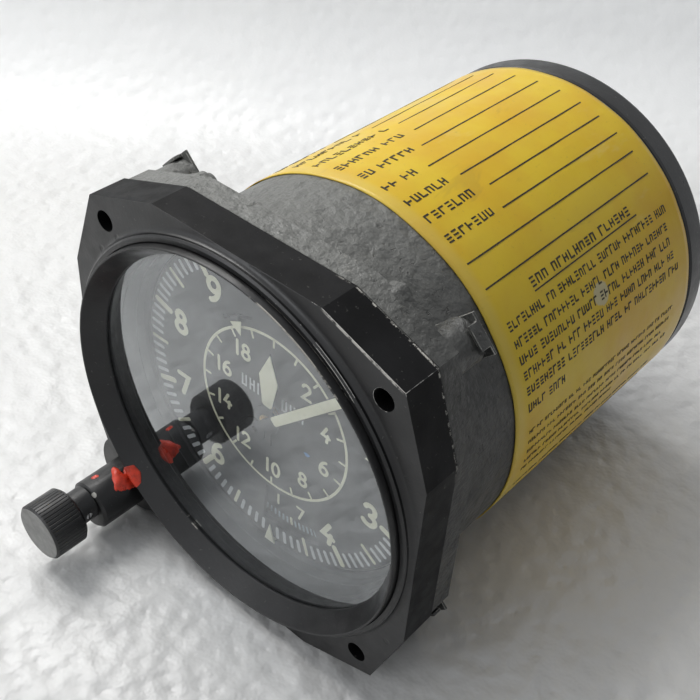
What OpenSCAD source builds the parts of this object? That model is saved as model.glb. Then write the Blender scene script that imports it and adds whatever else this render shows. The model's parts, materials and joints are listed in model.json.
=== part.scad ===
// Panel altimeter for aircraft: a dial instrument in a round cast case.
// The dial faces -Y, the case runs back along +Y and +Z is up.
// The origin is on the pointer axis, in the flange face that meets the panel.
// Clock angles are counted clockwise from the top, as the pilot sees the dial.

/* [Mounting flange] */
// How far the flange's flats stand outside the case tube
flange_margin = 3; // [2.6:0.1:5]
// How far each flat ends short of the flange's half width
flat_in = 23.5; // [21:0.5:28]
// How far each corner point stays inside the flange's half width
corner_in = 6.25; // [5.5:0.25:7]
// Thickness of the flange plate
plate_t = 8; // [7:0.1:10]
// How far the corner holes stay inside the flange's half width
hole_in = 10.1; // [9.6:0.1:10.6]
// Radius of the corner holes
hole_r = 2.1; // [1.8:0.05:2.4]
// Radius of the round lobe at the knob's corner
lobe_r = 9.2; // [8.6:0.1:9.4]
// How far the lobe's centre lies below the knob shaft
lobe_drop = 0.7; // [0.4:0.1:0.8]

/* [Bezel and glass] */
// How far the raised rim stays inside the flange's half width
rim_in = 0.8; // [0.5:0.1:1.2]
// Height of the rim in front of the flange face
rim_h = 1.7; // [1.2:0.1:2.5]
// Radius of the cove between rim and flange face
cove_r = 1.2; // [0.6:0.1:1.6]
// Wall of the rim round the seat of the glass
rim_wall = 1.2; // [1:0.1:1.6]
// Height of the retaining ring in front of the flange face
ring_h = 3.25; // [2.4:0.05:4]
// How far the retaining ring's front edge stays inside the seat
ring_edge_in = 0.65; // [0.5:0.05:1.2]
// Width of the retaining ring at the glass
ring_w = 3.4; // [2.8:0.1:4]
// Depth of the glass behind the flange face
glass_y = 1.3; // [0.8:0.1:2]
// Thickness of the glass
glass_t = 2; // [1.5:0.1:2.4]
// Thickness of the gasket behind the glass
glass_gasket_t = 1.2; // [0.8:0.1:1.6]
// How far the lip that carries the glass reaches inside the ring
lip_in = 0.6; // [0.3:0.1:1]

/* [Case] */
// Outer radius of the case tube
case_r = 40; // [39:0.1:40.6]
// Wall of the case tube
case_wall = 3; // [2:0.1:4]
// Thickness of the gasket between flange plate and case
front_gasket_t = 0.5; // [0.3:0.1:1]
// Thickness of the cast flange behind the plate
cast_flange_t = 5; // [4:0.1:6]
// How far the cast flange stays inside the plate's outline
cast_inset = 0.4; // [0.2:0.1:0.8]
// Radius of the corner lugs
lug_r = 4.3; // [4.1:0.1:4.8]
// Length of the corner lugs behind the cast flange
lug_len = 6.5; // [5:0.5:9]
// Distance from the flange face to the rear end of the case
case_rear = 97.6; // [92:0.2:105]
// Thickness of the ribs inside the case
case_rib_t = 3; // [2.4:0.2:4]
// Height of the rib behind the bearing ring, from the outside of the tube
rib_w = 7; // [6.4:0.1:7.4]
// Width of the land at the rear end, from the outside of the tube
rear_land = 6.4; // [6:0.1:7]
// Thickness of the gasket at the rear end
rear_gasket_t = 0.6; // [0.4:0.1:1]
// Depth of the rear cap
cap_depth = 6.2; // [5:0.2:8]
// How far the rear cap stands outside the tube
cap_over = 0.2; // [0:0.1:1]
// Wall of the rear cap
cap_wall = 3; // [2:0.1:4]
// Number of rear screws
rear_screw_count = 6; // [4:1:8]

/* [Static port] */
// Outer radius of the port's spigot
port_r = 5; // [4:0.25:6]
// Bore radius of the port
port_bore_r = 2; // [1.5:0.25:2.5]
// Length of the spigot
port_len = 12; // [8:1:16]
// Width of the port's hexagon across flats
port_hex = 17; // [15:0.5:19]

/* [Tag] */
// Distance from the flange face to the tag's front edge
tag_front = 32.4; // [28:0.2:40]
// How far the tag stays short of the rear end of the case
tag_rear_in = 0.6; // [0.2:0.2:15]
// Thickness of the tag
tag_t = 0.25; // [0.15:0.05:0.4]
// Clock angle at the middle of the tag
tag_middle = 35; // [20:1:60]
// Half of the angle that the tag wraps
tag_half = 97; // [60:1:120]

/* [Setting knob] */
// Radius of the knob
knob_r = 6.35; // [5.5:0.05:6.6]
// Length of the knob's grip
knob_len = 8; // [6:0.5:10]
// Distance of the knob's front face from the flange face
knob_front = 24.2; // [21:0.1:28]
// Radius of the knob's neck
neck_r = 3.75; // [3.2:0.05:4.2]
// Number of grooves round the grip
knurl_count = 48; // [36:1:60]
// Outer radius of the sleeve that carries the knob shaft
sleeve_r = 5.5; // [5.2:0.05:5.6]
// How far the sleeve's centre lies below the knob shaft
sleeve_drop = 1.8; // [1.7:0.1:2.2]
// Length of the sleeve in front of the flange face
sleeve_len = 11.5; // [9:0.1:13]
// Radius of the knob shaft
shaft_r = 2; // [1.6:0.05:2.4]

/* [Dial] */
// Depth of the dial face behind the flange face
dial_y = 10.1; // [9.8:0.1:11]
// Thickness of the dial plate
dial_t = 0.9; // [0.6:0.1:1.2]
// How far the dial plate stays inside the outside of the tube
dial_in = 1.8; // [1.7:0.1:2.2]
// How far the slot of the outer index stays inside the dial's edge
index_in = 3; // [2.8:0.1:3.2]
// How far the pressure window stays inside the dial's edge
window_in = 8; // [7.8:0.1:9]
// Height of the pressure window along the radius
window_w = 9.6; // [8:0.1:10]
// Clock angle at the start of the pressure window
window_a0 = 153; // [148:1:158]
// Clock angle at the end of the pressure window
window_a1 = 184; // [178:1:190]
// How far the kilometre circle stays inside the pressure window
km_in = 1.7; // [1.4:0.1:2]

/* [Pointers] */
// Depth of the long pointer behind the flange face
long_y = 5.2; // [4.9:0.1:5.6]
// Depth of the short pointer behind the flange face
short_y = 8.2; // [7.6:0.1:8.6]
// Thickness of the pointers
pointer_t = 0.4; // [0.3:0.05:0.5]
// How far the long pointer ends inside the dial's edge
long_in = 6.2; // [5.2:0.5:10]
// How far the short pointer ends inside the kilometre circle
short_in = 1.9; // [1.4:0.5:4.9]
// Altitude that the pointers show, in metres
shown_altitude = 125; // [0:25:500]
// Clock angle of the outer index
outer_index_angle = 179; // [170:1:190]
// Clock angle of the kilometre index
km_index_angle = 333; // [330:1:336]

/* [Gears] */
// Teeth of the knob pinion
knob_teeth = 12; // [12:1:14]
// Teeth of the setting idler
setting_idler_teeth = 20; // [18:1:22]
// Teeth round the base plate
base_teeth = 104; // [100:1:108]
// Centre distance of the reducing gears behind the dial, as a share of the case radius
motion_share = 0.225; // [0.215:0.0025:0.24]
// Module of the sector, the second wheel and their pinions, as a share of the case radius
train_share = 0.0075; // [0.007:0.00025:0.008]
// Width of each small gear
gear_t = 0.8; // [0.6:0.05:0.9]
// Play between meshing teeth
backlash = 0.07; // [0.05:0.01:0.1]

/* [Aneroid] */
// Radius of the capsules
capsule_r = 20; // [16:0.5:21]
// Thickness of one capsule
capsule_t = 6.6; // [5:0.2:7]
// Throw of the crank that the capsules turn
crank_r = 6; // [5:0.1:6.4]
// Radius of the crank pin
crank_pin_r = 0.8; // [0.6:0.05:1]

/* [Clearances] */
// Radial play of a shaft in its bearing
running_clearance = 0.04; // [0.02:0.01:0.08]
// Play of a ring in its seat
seat_clearance = 0.05; // [0.02:0.01:0.1]
// Gap between moving pieces side by side
side_gap = 0.3; // [0.25:0.05:0.4]
// Play of the crank pin in its slot
slot_clearance = 0.12; // [0.1:0.02:0.2]

// Layer of glue between the tag and the case
tag_gap = 0.03; // [0.02:0.01:0.06]

/* [Hidden] */
$fn = 96;

// Colours
black_paint = [0.09, 0.09, 0.1];
grey_paint = [0.42, 0.43, 0.43];
dial_black = [0.06, 0.06, 0.07];
lume = [0.86, 0.88, 0.72];
brass = [0.78, 0.62, 0.3];
steel = [0.62, 0.63, 0.65];
zinc = [0.72, 0.7, 0.62];
rubber = [0.12, 0.12, 0.12];
tag_yellow = [0.95, 0.74, 0.05];
capsule_bronze = [0.7, 0.52, 0.3];

// Radii and half widths, each from the case tube outwards or inwards
plate_half = case_r + flange_margin;
flat_half = plate_half - flat_in;
corner_half = plate_half - corner_in;
hole_half = plate_half - hole_in;
rim_r = plate_half - rim_in;
seat_r = rim_r - rim_wall;
ring_edge_r = seat_r - ring_edge_in;
view_r = seat_r - ring_w;
lip_r = view_r - lip_in;
rib_bore_r = case_r - rib_w;
rear_bore_r = case_r - rear_land;
rear_screw_circle = (case_r + rear_bore_r) / 2;
cap_r = case_r + cap_over;
dial_r = case_r - dial_in;
index_slot_r = dial_r - index_in;
window_r1 = dial_r - window_in;
window_r0 = window_r1 - window_w;
km_ring_r = window_r0 - km_in;
long_len = dial_r - long_in;
short_len = km_ring_r - short_in;
tag_rear = case_rear - tag_rear_in;
motion_distance = case_r * motion_share;
train_module = case_r * train_share;

// Corners that take a mounting screw, and the corner of the knob, as signs along X and Z
fixing_corners = [[-1, 1], [1, 1], [1, -1]];
knob_corner = [-1, -1];
knob_at = knob_corner * hole_half;
knob_reach = norm(knob_at);
knob_dir = knob_at / knob_reach;
lobe_at = knob_at - [0, lobe_drop];
sleeve_at = knob_at - [0, sleeve_drop];

// Places along the axis, from the front to the back
glass_rear = glass_y + glass_t;
glass_gasket_rear = glass_rear + glass_gasket_t;
case_front = plate_t + front_gasket_t;
cast_flange_rear = case_front + cast_flange_t;
lug_rear = cast_flange_rear + lug_len;
dial_rear = dial_y + dial_t;
layer_step = gear_t + side_gap;
km_wheel_y = dial_rear + 0.5;
hour_wheel_y = km_wheel_y + layer_step;
pointer_idler_y = hour_wheel_y + layer_step;
index_idler_y = pointer_idler_y + layer_step;
baro_y = dial_rear + 1;
baro_t = 0.6;
base_y = index_idler_y + layer_step + side_gap;
base_t = 2;
base_rear = base_y + base_t;
bearing_y = base_rear + side_gap;
bearing_t = 2.7;
bearing_rear = bearing_y + bearing_t;
keeper_y = bearing_rear + side_gap;
keeper_t = 0.8;
second_wheel_y = keeper_y + keeper_t + 1;
cock_y = second_wheel_y + gear_t + 1.6;
cock_t = 1.5;
sector_y = cock_y + cock_t + 3.5;
sector_t = 0.9;
back_y = sector_y + sector_t + 5.5;
back_t = 1.5;
back_rear = back_y + back_t;
capsule_y = back_rear + capsule_r + 2.5;
cap_y = case_rear + rear_gasket_t;
cap_rear = cap_y + cap_depth;
cap_inner = cap_rear - cap_wall;

// Radii that follow from others
case_bore_r = case_r - case_wall;
front_bore_r = dial_r + 0.35;
sleeve_bore_r = shaft_r + running_clearance;
tail_r = shaft_r * 0.75;
arbor_r = 0.6;
hour_tube_r = 1.3;
hub_r = 2.5;
stud_r = 0.55;
idler_pipe_r = 1;
insert_r = 3;
insert_len = 6;
anchor_thread_r = 1.65;
screw_r = 1;
screw_head_r = 1.8;
screw_head_t = 1.1;
rear_screw_r = 1.25;
rear_head_r = 2.4;

// Setting gears between the knob corner and the base plate
setting_module = knob_reach / (knob_teeth / 2 + setting_idler_teeth + base_teeth / 2);
base_pitch_r = setting_module * base_teeth / 2;
setting_idler_at = knob_dir * (base_pitch_r + setting_module * setting_idler_teeth / 2);
setting_idler_tip_r = setting_module * (setting_idler_teeth / 2 + 0.85);
knob_pinion_tip_r = setting_module * (knob_teeth / 2 + 0.85);
pocket_play = 0.6;
pocket_wall = 1.6;
pocket_rear = base_rear + 1;
gearbox_rear = pocket_rear + 3;
setting_dir = atan2(knob_dir[1], knob_dir[0]);
journal_r = base_pitch_r - 1.4;
journal_wall = 2;
baro_r1 = index_slot_r + 0.45;
baro_r0 = window_r0 - 0.8;
baro_wall_r = baro_r0 + 1.2;

// Reducing gears, twenty to one in two steps, on one stud behind the dial
motion_stud_at = [motion_distance, 0];
driver_teeth = 12;
first_teeth = 60;
second_pinion_teeth = 12;
hour_teeth = 48;
first_module = 2 * motion_distance / (driver_teeth + first_teeth);
hour_module = 2 * motion_distance / (second_pinion_teeth + hour_teeth);
motion_dir = atan2(motion_stud_at[1], motion_stud_at[0]);

// Train from the rocking shaft to the pointer arbor
centre_teeth = 10;
second_teeth = 96;
sector_pinion_teeth = 12;
sector_teeth = 150;
pointer_turns = 20;
sector_swing = pointer_turns * 360 * centre_teeth / second_teeth * sector_pinion_teeth / sector_teeth;
centre_distance = train_module * (centre_teeth + second_teeth) / 2;
sector_distance = train_module * (sector_pinion_teeth + sector_teeth) / 2;
shaft_at = case_r * [-0.5, 0.1];
shaft_reach = norm(shaft_at);
second_along = (pow(centre_distance, 2) - pow(sector_distance, 2) + pow(shaft_reach, 2)) / (2 * shaft_reach);
second_aside = sqrt(pow(centre_distance, 2) - pow(second_along, 2));
shaft_dir = shaft_at / shaft_reach;
second_at = shaft_dir * second_along + [shaft_dir[1], -shaft_dir[0]] * second_aside;
second_dir = atan2(second_at[1], second_at[0]);
mesh_dir = atan2(second_at[1] - shaft_at[1], second_at[0] - shaft_at[0]);
sector_pitch_r = train_module * sector_teeth / 2;
sector_edge = 5;
rocking_r = 1.2;
pivot_r = 0.8;

// Crank and capsules, at the start of their travel
crank_half_swing = sector_swing / 2;
crank_pin_at = shaft_at + crank_r * [sin(crank_half_swing), -cos(crank_half_swing)];
capsule_z = shaft_at[1] - crank_r * (1 + cos(crank_half_swing)) / 2;
capsule_gap = 0.8;
capsule_fixed_x = case_r * 0.325;
capsule_moving_x = capsule_fixed_x - 2 * capsule_t - capsule_gap - 1;
crank_y = capsule_y + 1.6;
yoke_t = 1.6;

// Reading at rest
long_angle = shown_altitude / 1000 * 360;
short_angle = shown_altitude / 20000 * 360;
setting_swing = 165;
km_swing = setting_swing / 20;

// A solid between y and y + t whose outline is drawn as seen from the front
module slab(y, t) {
    translate([0, y + t, 0])
        rotate([90, 0, 0])
            linear_extrude(t)
                children();
}

// A round bar along Y
module rod(y0, y1, r, at = [0, 0]) {
    translate([at[0], y1, at[1]])
        rotate([90, 0, 0])
            cylinder(h = y1 - y0, r = r);
}

// A round tube along Y
module pipe(y0, y1, ro, ri, at = [0, 0]) {
    slab(y0, y1 - y0)
        translate(at)
            difference() {
                circle(ro);
                circle(ri);
            }
}

// A turned shape about the axis, from points given as radius and depth
module turned(points, at = [0, 0]) {
    translate([at[0], 0, at[1]])
        rotate([90, 0, 0])
            rotate_extrude()
                polygon([for (p = points) [p[0], -p[1]]]);
}

// A slotted round head on a shank, with the head's face at y and the shank towards +Y
module slotted_screw(y, head_r, head_t, shank_r, shank_len, at) {
    difference() {
        union() {
            rod(y, y + head_t, head_r, at);
            rod(y, y + head_t + shank_len, shank_r, at);
        }
        translate([at[0] - head_r - 1, y - 1, at[1] - head_r * 0.15])
            cube([2 * head_r + 2, 1 + head_t * 0.45, head_r * 0.3]);
    }
}

function clock(a, r) = [r * sin(a), r * cos(a)];

// A sector of a disc between two clock angles
module clock_wedge(r, a0, a1) {
    steps = max(2, ceil((a1 - a0) / 15));
    polygon(concat([[0, 0]], [for (i = [0:steps]) clock(a0 + (a1 - a0) * i / steps, r)]));
}

// A ring-shaped slot between two clock angles
module arc_band(r0, r1, a0, a1) {
    intersection() {
        difference() {
            circle(r1);
            circle(r0);
        }
        clock_wedge(2 * r1, a0, a1);
    }
}

// Involute gears
pressure_angle = 25;
addendum = 0.85;
dedendum = 1.15;
function involute(r, rb) = r <= rb ? 0 : sqrt(pow(r / rb, 2) - 1) * 180 / PI - acos(rb / r);
function half_tooth(r, m, z) =
    let (rp = m * z / 2, rb = rp * cos(pressure_angle))
    90 / z - backlash / (2 * rp) * 180 / PI + involute(rp, rb) - involute(r, rb);
function tooth_radii(m, z) =
    let (rp = m * z / 2, rb = rp * cos(pressure_angle), rf = rp - dedendum * m, ra = rp + addendum * m, r0 = max(rf, rb))
    concat(rf < rb ? [rf] : [], [r0, (r0 + ra) / 2, ra]);
function tooth_points(m, z, at) =
    let (radii = tooth_radii(m, z), n = len(radii))
    concat(
        [for (i = [0:n - 1]) let (a = at - half_tooth(radii[i], m, z)) radii[i] * [cos(a), sin(a)]],
        [for (i = [n - 1:-1:0]) let (a = at + half_tooth(radii[i], m, z)) radii[i] * [cos(a), sin(a)]]
    );
function gear_points(m, z, phase) = [for (k = [0:z - 1]) each tooth_points(m, z, phase + k * 360 / z)];
// Phase of a gear that meshes with another, seen along the line between them
function mesh_phase(phase, z, other_z, dir) =
    dir + 180 - (0.5 - (dir - phase) * z / 360) * 360 / other_z;

module gear(m, z, phase, bore) {
    difference() {
        polygon(gear_points(m, z, phase));
        circle(bore);
    }
}

// Phases, each worked out from the gear that it meshes with
base_phase = 0;
setting_idler_phase = mesh_phase(base_phase, base_teeth, setting_idler_teeth, setting_dir);
knob_phase = mesh_phase(setting_idler_phase, setting_idler_teeth, knob_teeth, setting_dir);
first_phase = mesh_phase(0, driver_teeth, first_teeth, motion_dir);
hour_phase = mesh_phase(0, second_pinion_teeth, hour_teeth, motion_dir + 180);
second_phase = mesh_phase(0, centre_teeth, second_teeth, second_dir);
sector_phase = mesh_phase(0, sector_pinion_teeth, sector_teeth, mesh_dir + 180);

// Twelve-sided outline of the flange
function flange_outline(inset) =
    let (p = plate_half - inset, f = flat_half - inset * 0.3, c = corner_half - inset * 0.8)
    [
        [p, -f], [p, f], [c, c], [f, p],
        [-f, p], [-c, c], [-p, f], [-p, -f],
        [-c, -c], [-f, -p], [f, -p], [c, -c]
    ];

// Outline of the flange with the lobe at the knob's corner
module flange_shape(inset) {
    polygon(flange_outline(inset));
    translate(lobe_at)
        circle(lobe_r - inset);
}

// Bezel screws, one near each corner, on pads that run to the corner lugs
bezel_screw_in = 4.2;
bezel_screw_x = flat_half + 3;
bezel_screw_z = plate_half - bezel_screw_in;
bezel_screw_places = [for (sx = [-1, 1], sz = [-1, 1]) [sx * bezel_screw_x, sz * bezel_screw_z]];
bezel_screw_r = 1;
bezel_screw_depth = 4;
bezel_head_t = 1.2;
pad_r = 2.6;
pad_t = 1.8;
pad_rear = cast_flange_rear + pad_t;

module at_corners() {
    for (q = fixing_corners)
        translate(q * hole_half)
            children();
}

// Black plate with the raised rim and the seat for the glass
module bezel_flange() {
    color(black_paint)
        difference() {
            union() {
                slab(0, plate_t)
                    flange_shape(0);
                intersection() {
                    turned(concat(
                        [[lip_r, plate_t / 2], [lip_r, -rim_h], [rim_r - 0.4, -rim_h], [rim_r, -rim_h + 0.35]],
                        [for (a = [0:15:90]) [rim_r + cove_r * (1 - cos(a)), cove_r * (sin(a) - 1)]],
                        [[rim_r + cove_r, plate_t / 2]]
                    ));
                    slab(-rim_h - 1, plate_t)
                        flange_shape(0);
                }
            }
            rod(-rim_h - 1, glass_gasket_rear, seat_r);
            rod(0, plate_t + 1, lip_r);
            slab(-1, plate_t + 2)
                at_corners()
                    circle(hole_r);
            rod(-rim_h - 1, plate_t + 1, sleeve_r, sleeve_at);
            for (p = bezel_screw_places)
                rod(plate_t - bezel_screw_depth, plate_t + 1, bezel_screw_r, p);
        }
}

// Ring with a conical inner wall that holds the glass from the front
module retaining_ring() {
    ring_r = seat_r - seat_clearance;
    color(black_paint)
        turned([
            [view_r, glass_y], [view_r, glass_y - 0.5], [ring_edge_r, -ring_h], [ring_edge_r + 0.35, -ring_h],
            [ring_r - 0.15, -ring_h + 0.5], [ring_r - 0.15, -rim_h + 0.2], [ring_r, -rim_h + 0.5], [ring_r, glass_y]
        ]);
}

module cover_glass() {
    glass_r = seat_r - seat_clearance - 0.1;
    bevel = 0.25;
    color([0.8, 0.85, 0.88, 0.3])
        turned([
            [0, glass_y], [glass_r - bevel, glass_y], [glass_r, glass_y + bevel],
            [glass_r, glass_rear - bevel], [glass_r - bevel, glass_rear], [0, glass_rear]
        ]);
}

module glass_gasket() {
    color(rubber)
        pipe(glass_rear, glass_gasket_rear, seat_r - seat_clearance, lip_r + 0.4);
}

// Cavity for the knob pinion and the setting idler
module setting_pocket(extra) {
    translate(knob_at)
        circle(knob_pinion_tip_r + pocket_play + extra);
    translate(setting_idler_at)
        circle(setting_idler_tip_r + pocket_play + extra);
}

module front_gasket() {
    color(rubber)
        slab(plate_t, front_gasket_t)
            difference() {
                flange_shape(cast_inset + 0.3);
                circle(front_bore_r);
                at_corners()
                    circle(hole_r + 0.2);
                setting_pocket(0);
                for (p = bezel_screw_places)
                    translate(p)
                        circle(bezel_screw_r + 0.15);
            }
}

// Lug round a corner hole, with a web back to the case tube
module corner_lug(q) {
    translate(q * hole_half)
        circle(lug_r);
    web_half = lug_r - 0.5;
    rotate(atan2(q[1], q[0]))
        translate([case_r - 6, -web_half])
            square([norm(q) * hole_half - case_r + 6, 2 * web_half]);
}

// Raised pads from the bezel screws to the corners
module screw_pads() {
    for (p = bezel_screw_places) {
        corner = [sign(p[0]) * hole_half, sign(p[1]) * hole_half];
        translate(p)
            circle(pad_r);
        translate(p)
            rotate(atan2(corner[1] - p[1], corner[0] - p[0]))
                translate([0, -pad_r + 0.2])
                    square([norm(corner - p), 2 * pad_r - 0.4]);
    }
}

// Cast case: flange, tube, corner lugs and the pocket of the setting gears
module case_body() {
    color(grey_paint)
        difference() {
            union() {
                slab(case_front, cast_flange_t)
                    flange_shape(cast_inset);
                slab(cast_flange_rear - 1, pad_t + 1)
                    screw_pads();
                rod(case_front, case_rear, case_r);
                turned([
                    [case_r - 1, cast_flange_rear - 0.5], [case_r + 1.8, cast_flange_rear - 0.5],
                    [case_r + 1.8, cast_flange_rear], [case_r, cast_flange_rear + 2.5], [case_r - 1, cast_flange_rear + 2.5]
                ]);
                for (q = fixing_corners)
                    slab(case_front, cast_flange_t + lug_len)
                        corner_lug(q);
                slab(case_front, gearbox_rear - case_front)
                    setting_pocket(pocket_wall);
            }
            rod(case_front - 1, bearing_rear, front_bore_r);
            rod(bearing_rear - 1, case_rear + 1, rib_bore_r);
            rod(bearing_rear + case_rib_t, case_rear - 2 * case_rib_t, case_bore_r);
            rod(case_rear - 2 * case_rib_t - 1, case_rear + 1, rear_bore_r);
            slab(case_front - 1, pocket_rear - case_front + 1)
                setting_pocket(0);
            rod(pocket_rear - 1, pocket_rear + 2, tail_r + running_clearance, knob_at);
            rod(bearing_rear - 1, bearing_rear + 2, tail_r, setting_idler_at);
            slab(case_front - 1, cast_flange_t + lug_len + 2)
                at_corners()
                    circle(hole_r);
            slab(lug_rear - insert_len, insert_len + 1)
                at_corners()
                    circle(insert_r);
            for (p = bezel_screw_places)
                rod(case_front - 1, pad_rear + 1, bezel_screw_r, p);
            for (i = [0:rear_screw_count - 1])
                rod(case_rear - 5, case_rear + 1, rear_screw_r, clock(360 * i / rear_screw_count, rear_screw_circle));
            for (i = [0:2])
                rod(bearing_rear - 1, bearing_rear + case_rib_t - 0.8, screw_r, clock(bearing_screw_angle(i), bearing_screw_circle));
        }
}

bearing_screw_circle = rib_bore_r + 2;
function bearing_screw_angle(i) = 45 + 120 * i - 30;

module rear_gasket() {
    color(rubber)
        slab(case_rear, rear_gasket_t)
            difference() {
                circle(case_r - 0.3);
                circle(rear_bore_r);
                for (i = [0:rear_screw_count - 1])
                    translate(clock(360 * i / rear_screw_count, rear_screw_circle))
                        circle(rear_screw_r + 0.2);
            }
}

rear_head_depth = 1.3;

// Turned cap with a rolled rear edge
module rear_cap() {
    edge = 1.2;
    color(black_paint)
        difference() {
            turned(concat(
                [[0, cap_inner], [rear_bore_r, cap_inner], [rear_bore_r, cap_y], [cap_r - 0.4, cap_y], [cap_r, cap_y + 0.4]],
                [for (a = [0:15:90]) [cap_r - edge * (1 - cos(a)), cap_rear - edge * (1 - sin(a))]],
                [[cap_r - 6, cap_rear], [cap_r - 6.6, cap_rear - 0.6], [0, cap_rear - 0.6]]
            ));
            rod(cap_inner - 1, cap_rear + 1, port_r + seat_clearance);
            for (i = [0:rear_screw_count - 1]) {
                rod(cap_y - 1, cap_rear + 1, rear_screw_r, clock(360 * i / rear_screw_count, rear_screw_circle));
                rod(cap_rear - rear_head_depth, cap_rear + 1, rear_head_r + 0.2,
                    clock(360 * i / rear_screw_count, rear_screw_circle));
            }
        }
}

module rear_cap_screws() {
    color(steel)
        for (i = [0:rear_screw_count - 1])
            mirror([0, 1, 0])
                slotted_screw(-cap_rear, rear_head_r, rear_head_depth, rear_screw_r, cap_depth - rear_head_depth + 3.5,
                    clock(360 * i / rear_screw_count, rear_screw_circle));
}

port_flange_t = 5;
port_thread_len = cap_wall + 4.6;

// Union for the static pressure line
module static_port() {
    seat = cap_rear - 0.6;
    hex_r = port_hex / 2 / cos(30);
    color(steel)
        difference() {
            union() {
                slab(seat, port_flange_t)
                    circle(hex_r, $fn = 6);
                turned([
                    [0, seat + port_flange_t - 1], [port_r, seat + port_flange_t - 1],
                    [port_r, seat + port_flange_t + port_len - 1], [port_r - 1, seat + port_flange_t + port_len],
                    [0, seat + port_flange_t + port_len]
                ]);
                rod(seat - port_thread_len, seat + 1, port_r);
            }
            rod(seat - port_thread_len - 1, seat + port_flange_t + port_len + 1, port_bore_r);
        }
}

module port_nut() {
    nut_t = 3;
    color(steel)
        slab(cap_inner - nut_t, nut_t)
            difference() {
                circle(port_hex / 2 / cos(30), $fn = 6);
                circle(port_r + 0.02);
            }
}

// Screws that hold the flange plate to the case from behind
module bezel_screws() {
    color(steel)
        for (p = bezel_screw_places)
            mirror([0, 1, 0])
                slotted_screw(-pad_rear - bezel_head_t, screw_head_r, bezel_head_t, bezel_screw_r,
                    pad_t + cast_flange_t + front_gasket_t + bezel_screw_depth - 0.3, p);
}

clip_t = 0.6;

// Bent sheet clips that hold the threaded inserts in the lugs
module anchor_clips() {
    clip_half = lug_r - 0.4;
    tab_len = 2;
    color(zinc)
        for (q = fixing_corners)
            difference() {
                union() {
                    slab(lug_rear, clip_t)
                        translate(q * hole_half)
                            rotate(atan2(q[1], q[0]))
                                translate([-clip_half - 1, -clip_half])
                                    square([2 * clip_half + 1 + lug_r - clip_half + clip_t, 2 * clip_half]);
                    slab(lug_rear - tab_len, tab_len + clip_t)
                        translate(q * hole_half)
                            rotate(atan2(q[1], q[0]))
                                translate([lug_r, -clip_half * 0.6])
                                    square([clip_t, 1.2 * clip_half]);
                }
                rod(lug_rear - 1, lug_rear + clip_t + 1, hole_r, q * hole_half);
            }
}

// Threaded inserts in the lugs
module anchor_nuts() {
    color(steel)
        for (q = fixing_corners)
            pipe(lug_rear - insert_len, lug_rear, insert_r, anchor_thread_r, q * hole_half);
}

// Paper tag wrapped on the case
module tag_label() {
    color(tag_yellow)
        slab(tag_front, tag_rear - tag_front)
            arc_band(case_r + tag_gap, case_r + tag_gap + tag_t, tag_middle - tag_half, tag_middle + tag_half);
}

lock_screw_y = -4.2;
lock_screw_angle = 20;
lock_screw_r = 1.1;

// Sleeve through the knob corner of the flange, with its bore above its centre
module setting_sleeve() {
    color(black_paint)
        difference() {
            turned([
                [0, -sleeve_len], [sleeve_r - 0.6, -sleeve_len], [sleeve_r, -sleeve_len + 0.6],
                [sleeve_r, plate_t - 0.05], [0, plate_t - 0.05]
            ], sleeve_at);
            rod(-sleeve_len - 1, plate_t + 1, sleeve_bore_r, knob_at);
            translate([sleeve_at[0], lock_screw_y, sleeve_at[1]])
                rotate([0, lock_screw_angle, 0])
                    cylinder(h = sleeve_r + 2, r = lock_screw_r);
        }
}

module sleeve_lock_screw() {
    depth = sleeve_drop + sleeve_bore_r + 0.3;
    color(steel)
        translate([sleeve_at[0], lock_screw_y, sleeve_at[1]])
            rotate([0, lock_screw_angle, 0])
                difference() {
                    translate([0, 0, depth])
                        cylinder(h = sleeve_r - depth + 0.35, r = lock_screw_r);
                    translate([-2, -0.2, sleeve_r - 0.15])
                        cube([4, 0.4, 2]);
                }
}

knob_rear = -knob_front + knob_len;
neck_rear = -sleeve_len - side_gap;
set_screw_y = (knob_rear + neck_rear) / 2;
set_screw_r = 0.8;

// Knurled knob with a neck
module knob() {
    groove_r = PI * knob_r / knurl_count * 0.42;
    color(black_paint)
        difference() {
            union() {
                difference() {
                    turned([
                        [0, -knob_front], [knob_r - 0.5, -knob_front], [knob_r, -knob_front + 0.5],
                        [knob_r, knob_rear - 0.6], [knob_r - 0.6, knob_rear], [0, knob_rear]
                    ], knob_at);
                    slab(-knob_front - 1, knob_len + 2)
                        translate(knob_at)
                            for (i = [0:knurl_count - 1])
                                rotate(360 * i / knurl_count)
                                    translate([knob_r + groove_r * 0.25, 0])
                                        circle(groove_r, $fn = 4);
                }
                rod(knob_rear - 1, neck_rear, neck_r, knob_at);
            }
            rod(knob_rear - 3, neck_rear + 1, shaft_r, knob_at);
            translate([knob_at[0], set_screw_y, knob_at[1]])
                rotate([0, 90, 0])
                    cylinder(h = neck_r + 1, r = set_screw_r);
        }
}

module knob_set_screw() {
    color(steel)
        translate([knob_at[0], set_screw_y, knob_at[1]])
            rotate([0, 90, 0])
                difference() {
                    translate([0, 0, shaft_r])
                        cylinder(h = neck_r - shaft_r - 0.2, r = set_screw_r);
                    translate([-2, -0.15, neck_r - 0.8])
                        cube([4, 0.3, 2]);
                }
}

// Stepped shaft from the knob to the pocket in the case
module knob_shaft() {
    set_depth = knob_rear - 3;
    color(steel)
        difference() {
            turned([
                [0, set_depth], [shaft_r, set_depth], [shaft_r, base_y - 1], [tail_r, base_y - 1],
                [tail_r, pocket_rear + 1.7], [0, pocket_rear + 1.7]
            ], knob_at);
        }
}

module knob_pinion() {
    color(brass)
        slab(base_y, base_t)
            translate(knob_at)
                gear(setting_module, knob_teeth, knob_phase, tail_r);
}

module setting_idler() {
    color(brass)
        slab(base_y, base_t)
            translate(setting_idler_at)
                gear(setting_module, setting_idler_teeth, setting_idler_phase, tail_r + running_clearance);
}

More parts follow.
